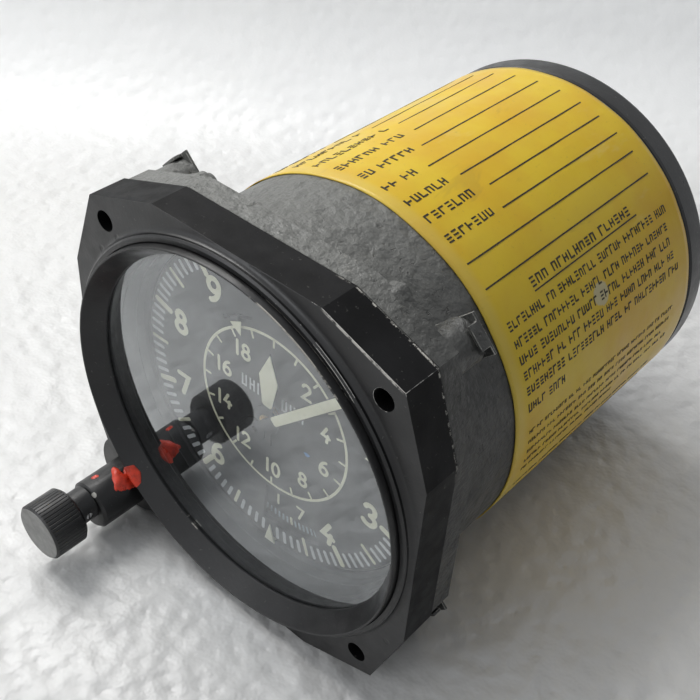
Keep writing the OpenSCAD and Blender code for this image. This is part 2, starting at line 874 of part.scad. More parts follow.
module setting_idler_stud() {
    color(steel)
        union() {
            rod(base_y - 0.9, bearing_rear + 1.9, tail_r, setting_idler_at);
            rod(base_y - 1.2, base_y - side_gap, tail_r + 1, setting_idler_at);
            rod(base_rear + side_gap, pocket_rear, tail_r + 1, setting_idler_at);
        }
}

// Ring between the flange lip and the dial
module dial_clamp_ring() {
    color(black_paint)
        pipe(plate_t, dial_y, dial_r, lip_r - 0.2);
}

km_slot_r = km_ring_r + 2.4;
slot_half = 0.45;

// Dial with the pressure window and the slots for the two indices
module dial_plate() {
    slot_margin = 3;
    color(dial_black)
        slab(dial_y, dial_t)
            difference() {
                circle(dial_r);
                circle(hour_tube_r + 1.2);
                arc_band(window_r0, window_r1, window_a0, window_a1);
                arc_band(index_slot_r - slot_half, index_slot_r + slot_half,
                    outer_index_angle - setting_swing - slot_margin, outer_index_angle + setting_swing + slot_margin);
                arc_band(km_slot_r - slot_half, km_slot_r + slot_half,
                    km_index_angle - km_swing - slot_margin, km_index_angle + km_swing + slot_margin);
                translate(motion_stud_at)
                    circle(stud_r);
            }
}

// Spacer between the dial and the bearing ring, open where the setting idler passes
module dial_spacer() {
    spacer_wall = 1.4;
    color(steel)
        difference() {
            pipe(dial_rear, bearing_y, dial_r, dial_r - spacer_wall);
            slab(base_y - 1.6, bearing_y - base_y + 2)
                setting_pocket(0);
        }
}

// Stud behind the dial that carries both reducing idlers
module motion_stud() {
    color(steel)
        union() {
            rod(dial_y, base_y - side_gap, stud_r, motion_stud_at);
            rod(dial_rear, km_wheel_y - 0.1, stud_r + 0.5, motion_stud_at);
        }
}

// Fixed ring that the base plate turns in
module bearing_ring() {
    color(brass)
        slab(bearing_y, bearing_t)
            difference() {
                circle(front_bore_r - seat_clearance);
                circle(journal_r + running_clearance);
                translate(setting_idler_at)
                    circle(setting_idler_tip_r + pocket_play);
                for (i = [0:2])
                    translate(clock(bearing_screw_angle(i), bearing_screw_circle))
                        circle(screw_r);
            }
}

module bearing_ring_screws() {
    head_t = 0.9;
    color(steel)
        for (i = [0:2])
            slotted_screw(bearing_y - head_t, screw_r + 0.6, head_t, screw_r, bearing_t + case_rib_t - 1.2,
                clock(bearing_screw_angle(i), bearing_screw_circle));
}

pillar_angles = [62, 165, 236];
pillar_in = 4.6;
pillar_circle = journal_r - pillar_in;
pillar_r = 2;
cock_posts = case_r * [[0.35, -0.225], [-0.3, -0.275]];
cock_post_r = 1.8;
keeper_screw_count = 4;

// Toothed base plate of the movement, with a journal that turns in the bearing ring
module base_plate() {
    color(brass)
        difference() {
            union() {
                slab(base_y, base_t)
                    polygon(gear_points(setting_module, base_teeth, base_phase));
                pipe(base_rear - 0.5, keeper_y, journal_r, journal_r - journal_wall);
            }
            rod(base_y - 1, base_rear + 1, hub_r);
            rod(base_y + 0.6, base_rear + 1, pivot_bush_r, second_at);
            rod(base_y + 0.6, base_rear + 1, pivot_bush_r, shaft_at);
            for (a = pillar_angles)
                rod(base_y - 1, base_rear + 1, screw_r, clock(a, pillar_circle));
            for (p = cock_posts)
                rod(base_y - 1, base_rear + 1, screw_r, p);
            for (i = [0:keeper_screw_count - 1])
                rod(keeper_y - 2, keeper_y + 1, 0.6, clock(20 + i * 360 / keeper_screw_count, journal_r - journal_wall / 2));
        }
}

// Ring that keeps the base plate in its bearing
module keeper_ring() {
    color(steel)
        slab(keeper_y, keeper_t)
            difference() {
                circle(journal_r + 1.6);
                circle(journal_r - journal_wall);
                for (i = [0:keeper_screw_count - 1])
                    translate(clock(20 + i * 360 / keeper_screw_count, journal_r - journal_wall / 2))
                        circle(0.6);
            }
}

module keeper_screws() {
    color(steel)
        for (i = [0:keeper_screw_count - 1])
            mirror([0, 1, 0])
                slotted_screw(-keeper_y - keeper_t - 0.5, 0.95, 0.5, 0.6, keeper_t + 1.7,
                    clock(20 + i * 360 / keeper_screw_count, journal_r - journal_wall / 2));
}

// Hub of the base plate, with the pinion that drives the kilometre index
module index_drive_pinion() {
    bore = arbor_r + running_clearance;
    color(brass)
        union() {
            slab(index_idler_y, gear_t)
                gear(first_module, driver_teeth, 0, bore);
            pipe(index_idler_y + gear_t, base_y, 1.1, bore);
            pipe(base_y, base_rear, hub_r, bore);
        }
}

// Pressure scale behind the dial window, on a short wall from the base plate
module baro_scale() {
    color(dial_black)
        union() {
            slab(baro_y, baro_t)
                difference() {
                    circle(baro_r1);
                    circle(baro_r0);
                }
            pipe(baro_y + baro_t, base_y, baro_wall_r, baro_r0);
        }
}

outer_index_height = dial_y - 0.9;

// Triangle that points at the hundred-metre scale, on a tab through the dial
module outer_index() {
    tab_half = 0.9;
    blade_t = 0.25;
    color(lume)
        union() {
            slab(outer_index_height, blade_t)
                rotate(-outer_index_angle)
                    polygon([[-1.4, index_slot_r + 0.3], [0, window_r1 + 0.2], [1.4, index_slot_r + 0.3]]);
            slab(outer_index_height, baro_y - outer_index_height)
                rotate(-outer_index_angle)
                    translate([-tab_half, index_slot_r - 0.25])
                        square([2 * tab_half, 0.5]);
        }
}

module movement_pillars() {
    color(brass)
        for (a = pillar_angles)
            rod(base_rear, back_y, pillar_r, clock(a, pillar_circle));
}

pivot_bush_r = 1.7;

spring_y = second_wheel_y + gear_t + 0.5;
spring_r0 = arbor_r + 0.05;
spring_pitch = 1;
spring_turns = 4;
spring_strip = 0.12;
spring_stud_r = 0.3;

// Bridge that carries the rear end of the pointer arbor and the outer end of the hairspring
module centre_cock() {
    color(brass)
        difference() {
            union() {
                slab(cock_y, cock_t)
                    polygon([
                        cock_posts[1] + [-3, -3], cock_posts[0] + [3, -3], cock_posts[0] + [3, 3],
                        [6, 3.2], [-3.2, 3.2], cock_posts[1] + [-3, 3]
                    ]);
                for (p = cock_posts)
                    rod(base_rear, cock_y + 0.5, cock_post_r, p);
                rod(spring_y, cock_y + 0.5, spring_stud_r,
                    [spring_r0 + spring_pitch * spring_turns + spring_strip + spring_stud_r, 0]);
            }
            rod(cock_y - 1, cock_y + cock_t + 1, pivot_r + running_clearance);
        }
}

module back_plate() {
    color(brass)
        slab(back_y, back_t)
            difference() {
                circle(pillar_circle + 4);
                translate(second_at)
                    circle(pivot_bush_r);
                translate(shaft_at)
                    circle(pivot_bush_r + 0.8);
                for (a = pillar_angles)
                    translate(clock(a, pillar_circle))
                        circle(screw_r);
                for (p = bracket_screws)
                    translate(p)
                        circle(screw_r);
            }
}

// Screws into the pillars, the bridge and the bracket
module plate_screws() {
    color(steel)
        union() {
            for (a = pillar_angles)
                rod(base_y, base_rear, screw_r, clock(a, pillar_circle));
            for (p = cock_posts)
                rod(base_y, base_rear, screw_r, p);
            for (a = pillar_angles)
                mirror([0, 1, 0])
                    slotted_screw(-back_rear - screw_head_t, screw_head_r, screw_head_t, screw_r, back_t, clock(a, pillar_circle));
            for (p = bracket_screws)
                mirror([0, 1, 0])
                    slotted_screw(-back_rear - foot_t - screw_head_t, screw_head_r, screw_head_t, screw_r, back_t + foot_t, p);
        }
}

// Bushes that carry the pivots in both plates
module pivot_bushes() {
    color([0.75, 0.3, 0.25])
        union() {
            pipe(base_y + 0.6, base_rear, pivot_bush_r, pivot_r + running_clearance, second_at);
            pipe(base_y + 0.6, base_rear, pivot_bush_r, pivot_r + running_clearance, shaft_at);
            pipe(back_y, back_rear, pivot_bush_r, pivot_r + running_clearance, second_at);
            pipe(back_y, back_rear, pivot_bush_r + 0.8, rocking_r + running_clearance, shaft_at);
        }
}

foot_t = 2;
foot_len = 7;
bracket_x = capsule_fixed_x + 1;
bracket_t = 2.4;
bracket_half = 8;
bracket_screw_x = bracket_x + bracket_t + foot_len - 3;
bracket_screw_half = bracket_half - 3;
bracket_screws = [for (s = [-1, 1]) [bracket_screw_x, capsule_z + s * bracket_screw_half]];
capsule_stud_r = 1.6;

// Bent bracket on the back plate that holds the fixed side of the capsules
module capsule_bracket() {
    color(steel)
        difference() {
            union() {
                slab(back_rear, foot_t)
                    translate([bracket_x, capsule_z - bracket_half])
                        square([bracket_t + foot_len, 2 * bracket_half]);
                translate([bracket_x, back_rear, capsule_z - bracket_half])
                    cube([bracket_t, capsule_y - back_rear + bracket_half, 2 * bracket_half]);
            }
            translate([bracket_x - 1, capsule_y, capsule_z])
                rotate([0, 90, 0])
                    cylinder(h = bracket_t + 2, r = capsule_stud_r);
            for (p = bracket_screws)
                rod(back_rear - 1, back_rear + foot_t + 1, screw_r, p);
        }
}

module capsule_nut() {
    nut_t = 2.4;
    color(brass)
        translate([bracket_x + bracket_t, capsule_y, capsule_z])
            rotate([0, 90, 0])
                linear_extrude(nut_t)
                    difference() {
                        circle(3.4, $fn = 6);
                        circle(capsule_stud_r);
                    }
}

// One capsule: two corrugated discs joined at the rim, about the X axis
module capsule(x) {
    half = capsule_t / 2;
    rings = 4;
    crest = 0.5;
    step = (capsule_r - 5) / rings;
    face = [for (i = [0:2 * rings]) [4 + i * step / 2, half - (i % 2 == 0 ? crest : 0) - 0.06 * i]];
    translate([x, capsule_y, capsule_z])
        rotate([0, 90, 0])
            rotate_extrude()
                polygon(concat(
                    [[0, half], [4, half]], face, [[capsule_r, 0.5], [capsule_r, -0.5]],
                    [for (i = [2 * rings:-1:0]) [face[i][0], -face[i][1]]], [[4, -half], [0, -half]]
                ));
}

module capsule_stud(x0, x1, r) {
    translate([x0, capsule_y, capsule_z])
        rotate([0, 90, 0])
            cylinder(h = x1 - x0, r = r);
}

// Two evacuated capsules in line, fixed to the bracket at their right side
module aneroid_capsules() {
    first_x = capsule_fixed_x - capsule_t / 2;
    second_x = first_x - capsule_t - capsule_gap;
    color(capsule_bronze)
        union() {
            capsule(first_x);
            capsule(second_x);
            capsule_stud(capsule_fixed_x - 0.5, bracket_x, 3);
            capsule_stud(bracket_x - 0.5, bracket_x + bracket_t + 3, capsule_stud_r);
            capsule_stud(second_x + capsule_t / 2 - 0.5, first_x - capsule_t / 2 + 0.5, 3);
        }
}

cock_post_at = shaft_at + case_r * [-0.1125, 0.175];
crank_t = 1.5;
shaft_tail = 2;
shaft_end = crank_y + crank_t + shaft_tail;

// Post and arm that carry the rear end of the rocking shaft
module shaft_cock() {
    arm_t = 1.6;
    arm_y = shaft_end - 0.6;
    arm_dir = atan2(shaft_at[1] - cock_post_at[1], shaft_at[0] - cock_post_at[0]);
    color(brass)
        difference() {
            union() {
                rod(back_rear, arm_y + arm_t, 2, cock_post_at);
                slab(arm_y, arm_t)
                    translate(cock_post_at)
                        rotate(arm_dir)
                            translate([0, -2])
                                square([norm(shaft_at - cock_post_at), 4]);
                slab(arm_y, arm_t)
                    translate(shaft_at)
                        circle(2.2);
            }
            rod(arm_y - 1, arm_y + arm_t + 1, pivot_r + running_clearance, shaft_at);
        }
}

// Idler between the base plate's hub and the wheel of the kilometre index
module index_idler() {
    bore = stud_r + running_clearance;
    color(brass)
        union() {
            slab(index_idler_y, gear_t)
                translate(motion_stud_at)
                    gear(first_module, first_teeth, first_phase, bore);
            pipe(km_wheel_y + gear_t, index_idler_y, idler_pipe_r, bore, motion_stud_at);
            slab(km_wheel_y, gear_t)
                translate(motion_stud_at)
                    gear(hour_module, second_pinion_teeth, 0, bore);
        }
}

module km_index_wheel() {
    color(brass)
        slab(km_wheel_y, gear_t)
            gear(hour_module, hour_teeth, hour_phase, hour_tube_r + running_clearance);
}

// Triangle that points at the kilometre scale, on an arm behind the dial
module km_index() {
    arm_half = 1;
    arm_t = 0.3;
    arm_y = km_wheel_y - arm_t;
    blade_y = dial_y - 0.6;
    color(lume)
        union() {
            slab(arm_y, arm_t)
                rotate(-km_index_angle)
                    translate([-arm_half, 4])
                        square([2 * arm_half, km_slot_r - 4 + 0.25]);
            slab(blade_y, arm_y - blade_y + 0.1)
                rotate(-km_index_angle)
                    translate([-0.6, km_slot_r - 0.2])
                        square([1.2, 0.4]);
            slab(blade_y, 0.25)
                rotate(-km_index_angle)
                    polygon([[-1.3, km_slot_r + 0.2], [0, km_ring_r - 0.4], [1.3, km_slot_r + 0.2]]);
        }
}

// Arbor of the long pointer, with its pinion
module centre_arbor() {
    color(steel)
        union() {
            rod(long_y - 0.5, cock_y + 0.1, arbor_r);
            rod(cock_y, cock_y + cock_t + 0.3, pivot_r);
            slab(second_wheel_y - 0.2, gear_t + 0.4)
                polygon(gear_points(train_module, centre_teeth, 0));
        }
}

module cannon_pinion() {
    color(brass)
        slab(pointer_idler_y, gear_t)
            gear(first_module, driver_teeth, 0, arbor_r);
}

// Straight pointer with a round boss and a short tail
module long_pointer() {
    tail = 9;
    long_half = 1.15;
    boss_r = 2.6;
    color(lume)
        slab(long_y, pointer_t)
            rotate(-long_angle)
                difference() {
                    union() {
                        circle(boss_r);
                        polygon([
                            [-1.6, -tail], [1.6, -tail], [long_half, 0], [long_half, long_len - 1],
                            [0, long_len], [-long_half, long_len - 1], [-long_half, 0]
                        ]);
                    }
                    circle(arbor_r);
                }
}

// Flat spiral that takes up the play of the gears
module hairspring() {
    per_turn = 18;
    steps = spring_turns * per_turn;
    function spiral(i, side) =
        (spring_r0 + spring_pitch * i / per_turn + side) * [cos(360 * i / per_turn), sin(360 * i / per_turn)];
    color(steel)
        slab(spring_y, 0.6)
            polygon(concat([for (i = [0:steps]) spiral(i, 0)], [for (i = [steps:-1:0]) spiral(i, spring_strip)]));
}

module pointer_idler() {
    bore = idler_pipe_r + running_clearance;
    color(brass)
        union() {
            slab(pointer_idler_y, gear_t)
                translate(motion_stud_at)
                    gear(first_module, first_teeth, first_phase, bore);
            pipe(hour_wheel_y + gear_t, pointer_idler_y, idler_pipe_r + 0.35, bore, motion_stud_at);
            slab(hour_wheel_y, gear_t)
                translate(motion_stud_at)
                    gear(hour_module, second_pinion_teeth, 0, bore);
        }
}

// Wheel and tube of the short pointer
module hour_wheel() {
    bore = arbor_r + running_clearance;
    color(brass)
        union() {
            slab(hour_wheel_y, gear_t)
                gear(hour_module, hour_teeth, hour_phase, bore);
            pipe(short_y - 0.3, hour_wheel_y, hour_tube_r, bore);
        }
}

// Leaf-shaped pointer with a round boss and a short tail
module short_pointer() {
    tail = 6;
    boss_r = 3.2;
    color(lume)
        slab(short_y, pointer_t)
            rotate(-short_angle)
                difference() {
                    union() {
                        circle(boss_r);
                        polygon([
                            [-1.6, -tail], [1.6, -tail], [1.3, 0], [1.5, short_len * 0.25], [2.5, short_len * 0.62],
                            [0, short_len], [-2.5, short_len * 0.62], [-1.5, short_len * 0.25], [-1.3, 0]
                        ]);
                    }
                    circle(hour_tube_r);
                }
}

// Arbor between the sector and the pointer arbor
module second_arbor() {
    color(steel)
        union() {
            rod(base_y + 0.8, back_rear, pivot_r, second_at);
            rod(base_rear + side_gap, back_y - side_gap, pivot_r + 0.35, second_at);
            slab(sector_y - 0.4, sector_t + 0.8)
                translate(second_at)
                    polygon(gear_points(train_module, sector_pinion_teeth, 0));
        }
}

module second_wheel() {
    color(brass)
        slab(second_wheel_y, gear_t)
            translate(second_at)
                difference() {
                    polygon(gear_points(train_module, second_teeth, second_phase));
                    circle(pivot_r + 0.35);
                    for (i = [0:4])
                        rotate(72 * i)
                            translate([train_module * second_teeth * 0.28, 0])
                                circle(train_module * second_teeth * 0.11);
                }
}

// Toothed sector on the rocking shaft, with a counterweight
module sector() {
    pitch = 360 / sector_teeth;
    root_r = sector_pitch_r - dedendum * train_module;
    first = ceil((mesh_dir - sector_edge - sector_phase) / pitch);
    last = floor((mesh_dir + sector_swing + sector_edge - sector_phase) / pitch);
    a0 = sector_phase + (first - 0.5) * pitch;
    a1 = sector_phase + (last + 0.5) * pitch;
    middle = (a0 + a1) / 2;
    color(brass)
        slab(sector_y, sector_t)
            translate(shaft_at)
                difference() {
                    union() {
                        polygon(concat(
                            [(root_r - 3) * [cos(a0), sin(a0)], root_r * [cos(a0), sin(a0)]],
                            [for (k = [first:last]) each tooth_points(train_module, sector_teeth, sector_phase + k * pitch)],
                            [root_r * [cos(a1), sin(a1)]],
                            [for (i = [0:6]) let (a = a1 - (a1 - a0) * i / 6) (root_r - 3) * [cos(a), sin(a)]]
                        ));
                        polygon([
                            2.4 * [cos(middle - 90), sin(middle - 90)], (root_r - 2.4) * [cos(a0 + 4), sin(a0 + 4)],
                            (root_r - 2.4) * [cos(a0 + 12), sin(a0 + 12)], 5 * [cos(middle), sin(middle)],
                            (root_r - 2.4) * [cos(a1 - 12), sin(a1 - 12)], (root_r - 2.4) * [cos(a1 - 4), sin(a1 - 4)],
                            2.4 * [cos(middle + 90), sin(middle + 90)]
                        ]);
                        circle(3);
                        rotate(middle + 180)
                            translate([0, -1.5])
                                square([8, 3]);
                        rotate(middle + 180)
                            translate([7, 0])
                                circle(2.2);
                    }
                    circle(rocking_r);
                }
}

// Shaft that the capsules rock, with its crank and crank pin
module rocking_shaft() {
    color(steel)
        union() {
            rod(base_y + 0.8, base_rear + side_gap, pivot_r, shaft_at);
            rod(base_rear + side_gap, shaft_end - 0.9, rocking_r, shaft_at);
            rod(shaft_end - 1, shaft_end + 1, pivot_r, shaft_at);
            slab(crank_y, crank_t)
                union() {
                    translate(shaft_at)
                        circle(2);
                    translate(crank_pin_at)
                        circle(1.4);
                    translate(shaft_at)
                        rotate(crank_half_swing - 90)
                            translate([0, -1.2])
                                square([crank_r, 2.4]);
                }
            rod(capsule_y - yoke_t / 2 - 0.5, crank_y + 0.5, crank_pin_r, crank_pin_at);
        }
}

// Rod on the moving side of the capsules, with a slot for the crank pin
module capsule_link() {
    slot_half_w = crank_pin_r + slot_clearance;
    yoke_x = crank_pin_at[0];
    yoke_half = 3.2;
    slot_up = 1.2;
    color(steel)
        union() {
            difference() {
                slab(capsule_y - yoke_t / 2, yoke_t)
                    translate([yoke_x - 2.2, capsule_z - yoke_half])
                        square([4.4, 2 * yoke_half]);
                slab(capsule_y - yoke_t / 2 - 1, yoke_t + 2)
                    translate([yoke_x - slot_half_w, capsule_z - slot_up - crank_pin_r])
                        square([2 * slot_half_w, 2 * (slot_up + crank_pin_r)]);
            }
            capsule_stud(yoke_x + 1.8, capsule_moving_x + 0.95, 0.8);
            capsule_stud(capsule_moving_x, capsule_moving_x + 0.95, 3.5);
        }
}

bezel_flange();
retaining_ring();
cover_glass();
glass_gasket();
front_gasket();
case_body();
rear_gasket();
rear_cap();
rear_cap_screws();
static_port();
port_nut();
bezel_screws();
anchor_clips();
anchor_nuts();
tag_label();
setting_sleeve();
sleeve_lock_screw();
knob();
knob_set_screw();
knob_shaft();
knob_pinion();
setting_idler();
setting_idler_stud();
dial_clamp_ring();
dial_plate();
dial_spacer();
motion_stud();
bearing_ring();
bearing_ring_screws();
base_plate();
keeper_ring();
keeper_screws();
index_drive_pinion();
baro_scale();
outer_index();
movement_pillars();
centre_cock();
back_plate();
plate_screws();
pivot_bushes();
capsule_bracket();
capsule_nut();
aneroid_capsules();
shaft_cock();
index_idler();
km_index_wheel();
km_index();
centre_arbor();
cannon_pinion();
long_pointer();
hairspring();
pointer_idler();
hour_wheel();
short_pointer();
second_arbor();
second_wheel();
sector();
rocking_shaft();
capsule_link();
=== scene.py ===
"""Panel altimeter: finishes, dial marks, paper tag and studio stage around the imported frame."""
import functools
import json
import math
import random

import bmesh
import bpy
from mathutils import Matrix, Vector

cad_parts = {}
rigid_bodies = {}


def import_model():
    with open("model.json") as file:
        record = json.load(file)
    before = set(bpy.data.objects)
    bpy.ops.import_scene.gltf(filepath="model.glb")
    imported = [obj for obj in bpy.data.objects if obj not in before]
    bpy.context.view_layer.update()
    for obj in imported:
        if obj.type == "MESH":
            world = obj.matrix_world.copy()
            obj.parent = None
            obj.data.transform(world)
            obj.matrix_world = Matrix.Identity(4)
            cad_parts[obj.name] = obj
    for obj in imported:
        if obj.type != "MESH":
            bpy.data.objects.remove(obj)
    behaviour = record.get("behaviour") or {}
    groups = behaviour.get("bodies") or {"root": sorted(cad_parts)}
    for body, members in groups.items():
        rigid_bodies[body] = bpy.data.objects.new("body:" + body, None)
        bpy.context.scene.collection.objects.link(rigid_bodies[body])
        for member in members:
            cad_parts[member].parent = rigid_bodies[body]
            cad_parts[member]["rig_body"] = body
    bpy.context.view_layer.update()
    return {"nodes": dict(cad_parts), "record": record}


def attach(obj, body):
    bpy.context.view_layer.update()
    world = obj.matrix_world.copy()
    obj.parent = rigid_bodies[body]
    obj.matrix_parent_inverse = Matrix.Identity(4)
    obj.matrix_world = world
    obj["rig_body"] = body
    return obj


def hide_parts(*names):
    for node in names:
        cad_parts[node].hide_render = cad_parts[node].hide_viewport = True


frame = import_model()

bl_info = {
    "name": "Panel altimeter",
    "version": (1, 0, 0),
    "blender": (4, 5, 0),
    "location": "3D View > Sidebar > Altimeter",
    "description": (
        "Dresses the packed altimeter with its finishes, dial marks and tag, and sets up the stage"),
    "category": "Object",
}

MM = 0.001
# How far painted marks reach into the face under them, in millimetres
SINK = 0.01


# Sizes and colours

def size_of(name, description, default):
    """A size that a user may change, in millimetres or degrees."""
    return bpy.props.FloatProperty(name=name, description=description, default=default)


def colour_of(name, description, default):
    """A colour that a user may change."""
    return bpy.props.FloatVectorProperty(
        name=name, description=description, subtype="COLOR", default=default)


class DialSizes(bpy.types.PropertyGroup):
    """Sizes of the marks on the dial, in millimetres."""

    face_y: size_of("Dial face", "Place of the dial's front face", 10.1)
    mark_rise: size_of("Mark rise", "Thickness of the painted marks", 0.05)
    rim_r: size_of("Scale rim", "Outer end of the metre scale", 34.4)
    ten_r: size_of("Ten metre", "Inner end of a ten-metre mark", 31.0)
    fifty_r: size_of("Fifty metre", "Inner end of a fifty-metre mark", 29.6)
    hundred_r: size_of("Hundred metre", "Inner end of a hundred-metre mark", 29.2)
    number_r: size_of("Number circle", "Radius of the outer numbers", 26.6)
    number_h: size_of("Number height", "Height of the outer numbers", 5.6)
    km_r: size_of("Kilometre circle", "Radius of the inner circle", 18.9)
    km_tick: size_of("Kilometre mark", "Length of a mark on the inner circle", 2.0)
    km_number_r: size_of("Kilometre numbers", "Radius of the inner numbers", 14.2)
    km_number_h: size_of("Kilometre height", "Height of the inner numbers", 3.7)


class TagSizes(bpy.types.PropertyGroup):
    """Sizes of the paper tag round the case, in millimetres and degrees."""

    radius: size_of("Radius", "Outer radius of the paper", 40.28)
    thickness: size_of("Thickness", "Thickness of the paper", 0.24)
    front: size_of("Front edge", "Front edge along the case", 32.4)
    rear: size_of("Rear edge", "Rear edge along the case", 97.0)
    start: size_of("Start", "First edge round the case, as a clock angle", -62.0)
    end: size_of("End", "Last edge round the case, as a clock angle", 132.0)
    seed: bpy.props.IntProperty(name="Seed", description="Seed of the printed rows", default=7)


class FinishColours(bpy.types.PropertyGroup):
    """Colours of the finishes."""

    enamel: colour_of("Enamel", "Black enamel", (0.008, 0.008, 0.0085))
    casting: colour_of("Casting", "Grey casting paint", (0.100, 0.101, 0.095))
    paper: colour_of("Paper", "Yellow tag", (0.82, 0.58, 0.018))
    cream: colour_of("Cream", "Luminous paint", (0.82, 0.83, 0.64))
    seal: colour_of("Seal", "Red seal paint", (0.80, 0.06, 0.025))


# Finishes

class Nodes:
    """Short ways to add and link the nodes of a tree."""

    def __init__(self, tree):
        self.tree = tree

    def node(self, kind, **values):
        n = self.tree.nodes.new(kind)
        for key, value in values.items():
            setattr(n, key, value)
        return n

    def feed(self, socket, value):
        if isinstance(value, bpy.types.NodeSocket):
            self.tree.links.new(value, socket)
        else:
            socket.default_value = value

    def make(self, kind, inputs, **values):
        """Adds a node with its inputs, by name or number, and gives its first output."""
        n = self.node(kind, **values)
        for key, value in inputs.items():
            self.feed(n.inputs[key], value)
        return n.outputs[0]

    def math(self, kind, a, b=0.0):
        return self.make("ShaderNodeMath", {0: a, 1: b}, operation=kind)

    def plus(self, a, b):
        return self.math("ADD", a, b)

    def times(self, a, b):
        return self.math("MULTIPLY", a, b)

    def most(self, values):
        """The largest of some values."""
        return functools.reduce(functools.partial(self.math, "MAXIMUM"), values)

    def measure(self, kind, a, b):
        """A number from two vectors, such as a distance."""
        n = self.node("ShaderNodeVectorMath", operation=kind)
        self.feed(n.inputs[0], a)
        n.inputs[1].default_value = b
        return n.outputs["Value"]

    def level(self, value, low, high, to_low=0.0, to_high=1.0, ease="SMOOTHSTEP"):
        ranges = {"Value": value, "From Min": low, "From Max": high, "To Min": to_low, "To Max": to_high}
        return self.make("ShaderNodeMapRange", ranges, interpolation_type=ease)

    def seen(self):
        """1 for what the eye, mirrors and glass meet, and 0 for what lights the rest."""
        path = self.node("ShaderNodeLightPath").outputs
        return self.most([path["Is Camera Ray"], path["Is Glossy Ray"], path["Is Transmission Ray"]])


class Finish(Nodes):
    """A procedural finish that reads object coordinates, in metres."""

    def __init__(self, name, **values):
        self.mat = bpy.data.materials.new(name)
        self.mat.use_nodes = True
        super().__init__(self.mat.node_tree)
        self.shader = self.tree.nodes["Principled BSDF"]
        self.place = self.node("ShaderNodeTexCoord").outputs["Object"]
        for key, value in values.items():
            self.set(key, value)

    def set(self, key, value):
        if isinstance(value, (tuple, list)) and len(value) == 3 and "Color" in key:
            value = (*value, 1.0)
        self.feed(self.shader.inputs[key.replace("_", " ")], value)

    def noise(self, scale, detail=3.0, rough=0.55, stretch=None, twist=0.0):
        place = self.place
        if stretch:
            place = self.make("ShaderNodeMapping", {"Vector": place, "Scale": stretch})
        grain = {"Vector": place, "Scale": scale, "Detail": detail, "Roughness": rough, "Distortion": twist}
        return self.make("ShaderNodeTexNoise", grain)

    def cells(self, scale):
        return self.make("ShaderNodeTexVoronoi", {"Vector": self.place, "Scale": scale}, feature="SMOOTH_F1")

    def mix(self, share, a, b):
        n = self.node("ShaderNodeMix", data_type="RGBA")
        self.feed(n.inputs[0], share)
        for socket, v in ((n.inputs[6], a), (n.inputs[7], b)):
            self.feed(socket, (*v, 1.0) if isinstance(v, (tuple, list)) and len(v) == 3 else v)
        return n.outputs[2]

    def bump(self, height, strength, depth):
        return self.make("ShaderNodeBump", {"Height": height, "Strength": strength, "Distance": depth * MM})

    def axis(self, which):
        n = self.node("ShaderNodeSeparateXYZ")
        self.feed(n.inputs[0], self.place)
        return n.outputs[which]

    def near(self, point, radius, full=0.35):
        """1 round a point given in millimetres, up to a share of the radius, and 0 past the radius."""
        gap = self.measure("DISTANCE", self.place, [v * MM for v in point])
        return self.level(gap, radius * full * MM, radius * MM, 1.0, 0.0)

    def rubbed(self, wear, rubs):
        """Adds wear round places given as (x, y, z, radius, amount), in millimetres."""
        for *point, radius, amount in rubs:
            wear = self.plus(wear, self.times(self.near(point, radius), amount))
        return wear

    def show_through(self, share, clear_second):
        """Mixes the finish with clear air; the share is that of the second of the two."""
        pair = [self.node("ShaderNodeBsdfTransparent").outputs[0], self.shader.outputs[0]]
        if clear_second:
            pair.reverse()
        surface = self.make("ShaderNodeMixShader", dict(enumerate((share, *pair))))
        self.feed(self.tree.nodes["Material Output"].inputs["Surface"], surface)


def bores(f, places, radius):
    """1 inside any of the round holes along the axis at (x, z) places, in millimetres."""
    soft_edge = 0.12
    flat = f.make("ShaderNodeVectorMath", {0: f.place, 1: (1.0, 0.0, 1.0)}, operation="MULTIPLY")
    gaps = [f.measure("DISTANCE", flat, (x * MM, 0.0, z * MM)) for x, z in places]
    return f.most([f.level(gap, radius * MM, (radius + soft_edge) * MM, 1.0, 0.0) for gap in gaps])


def tint(colour, k):
    return tuple(min(1.0, c * k) for c in colour)


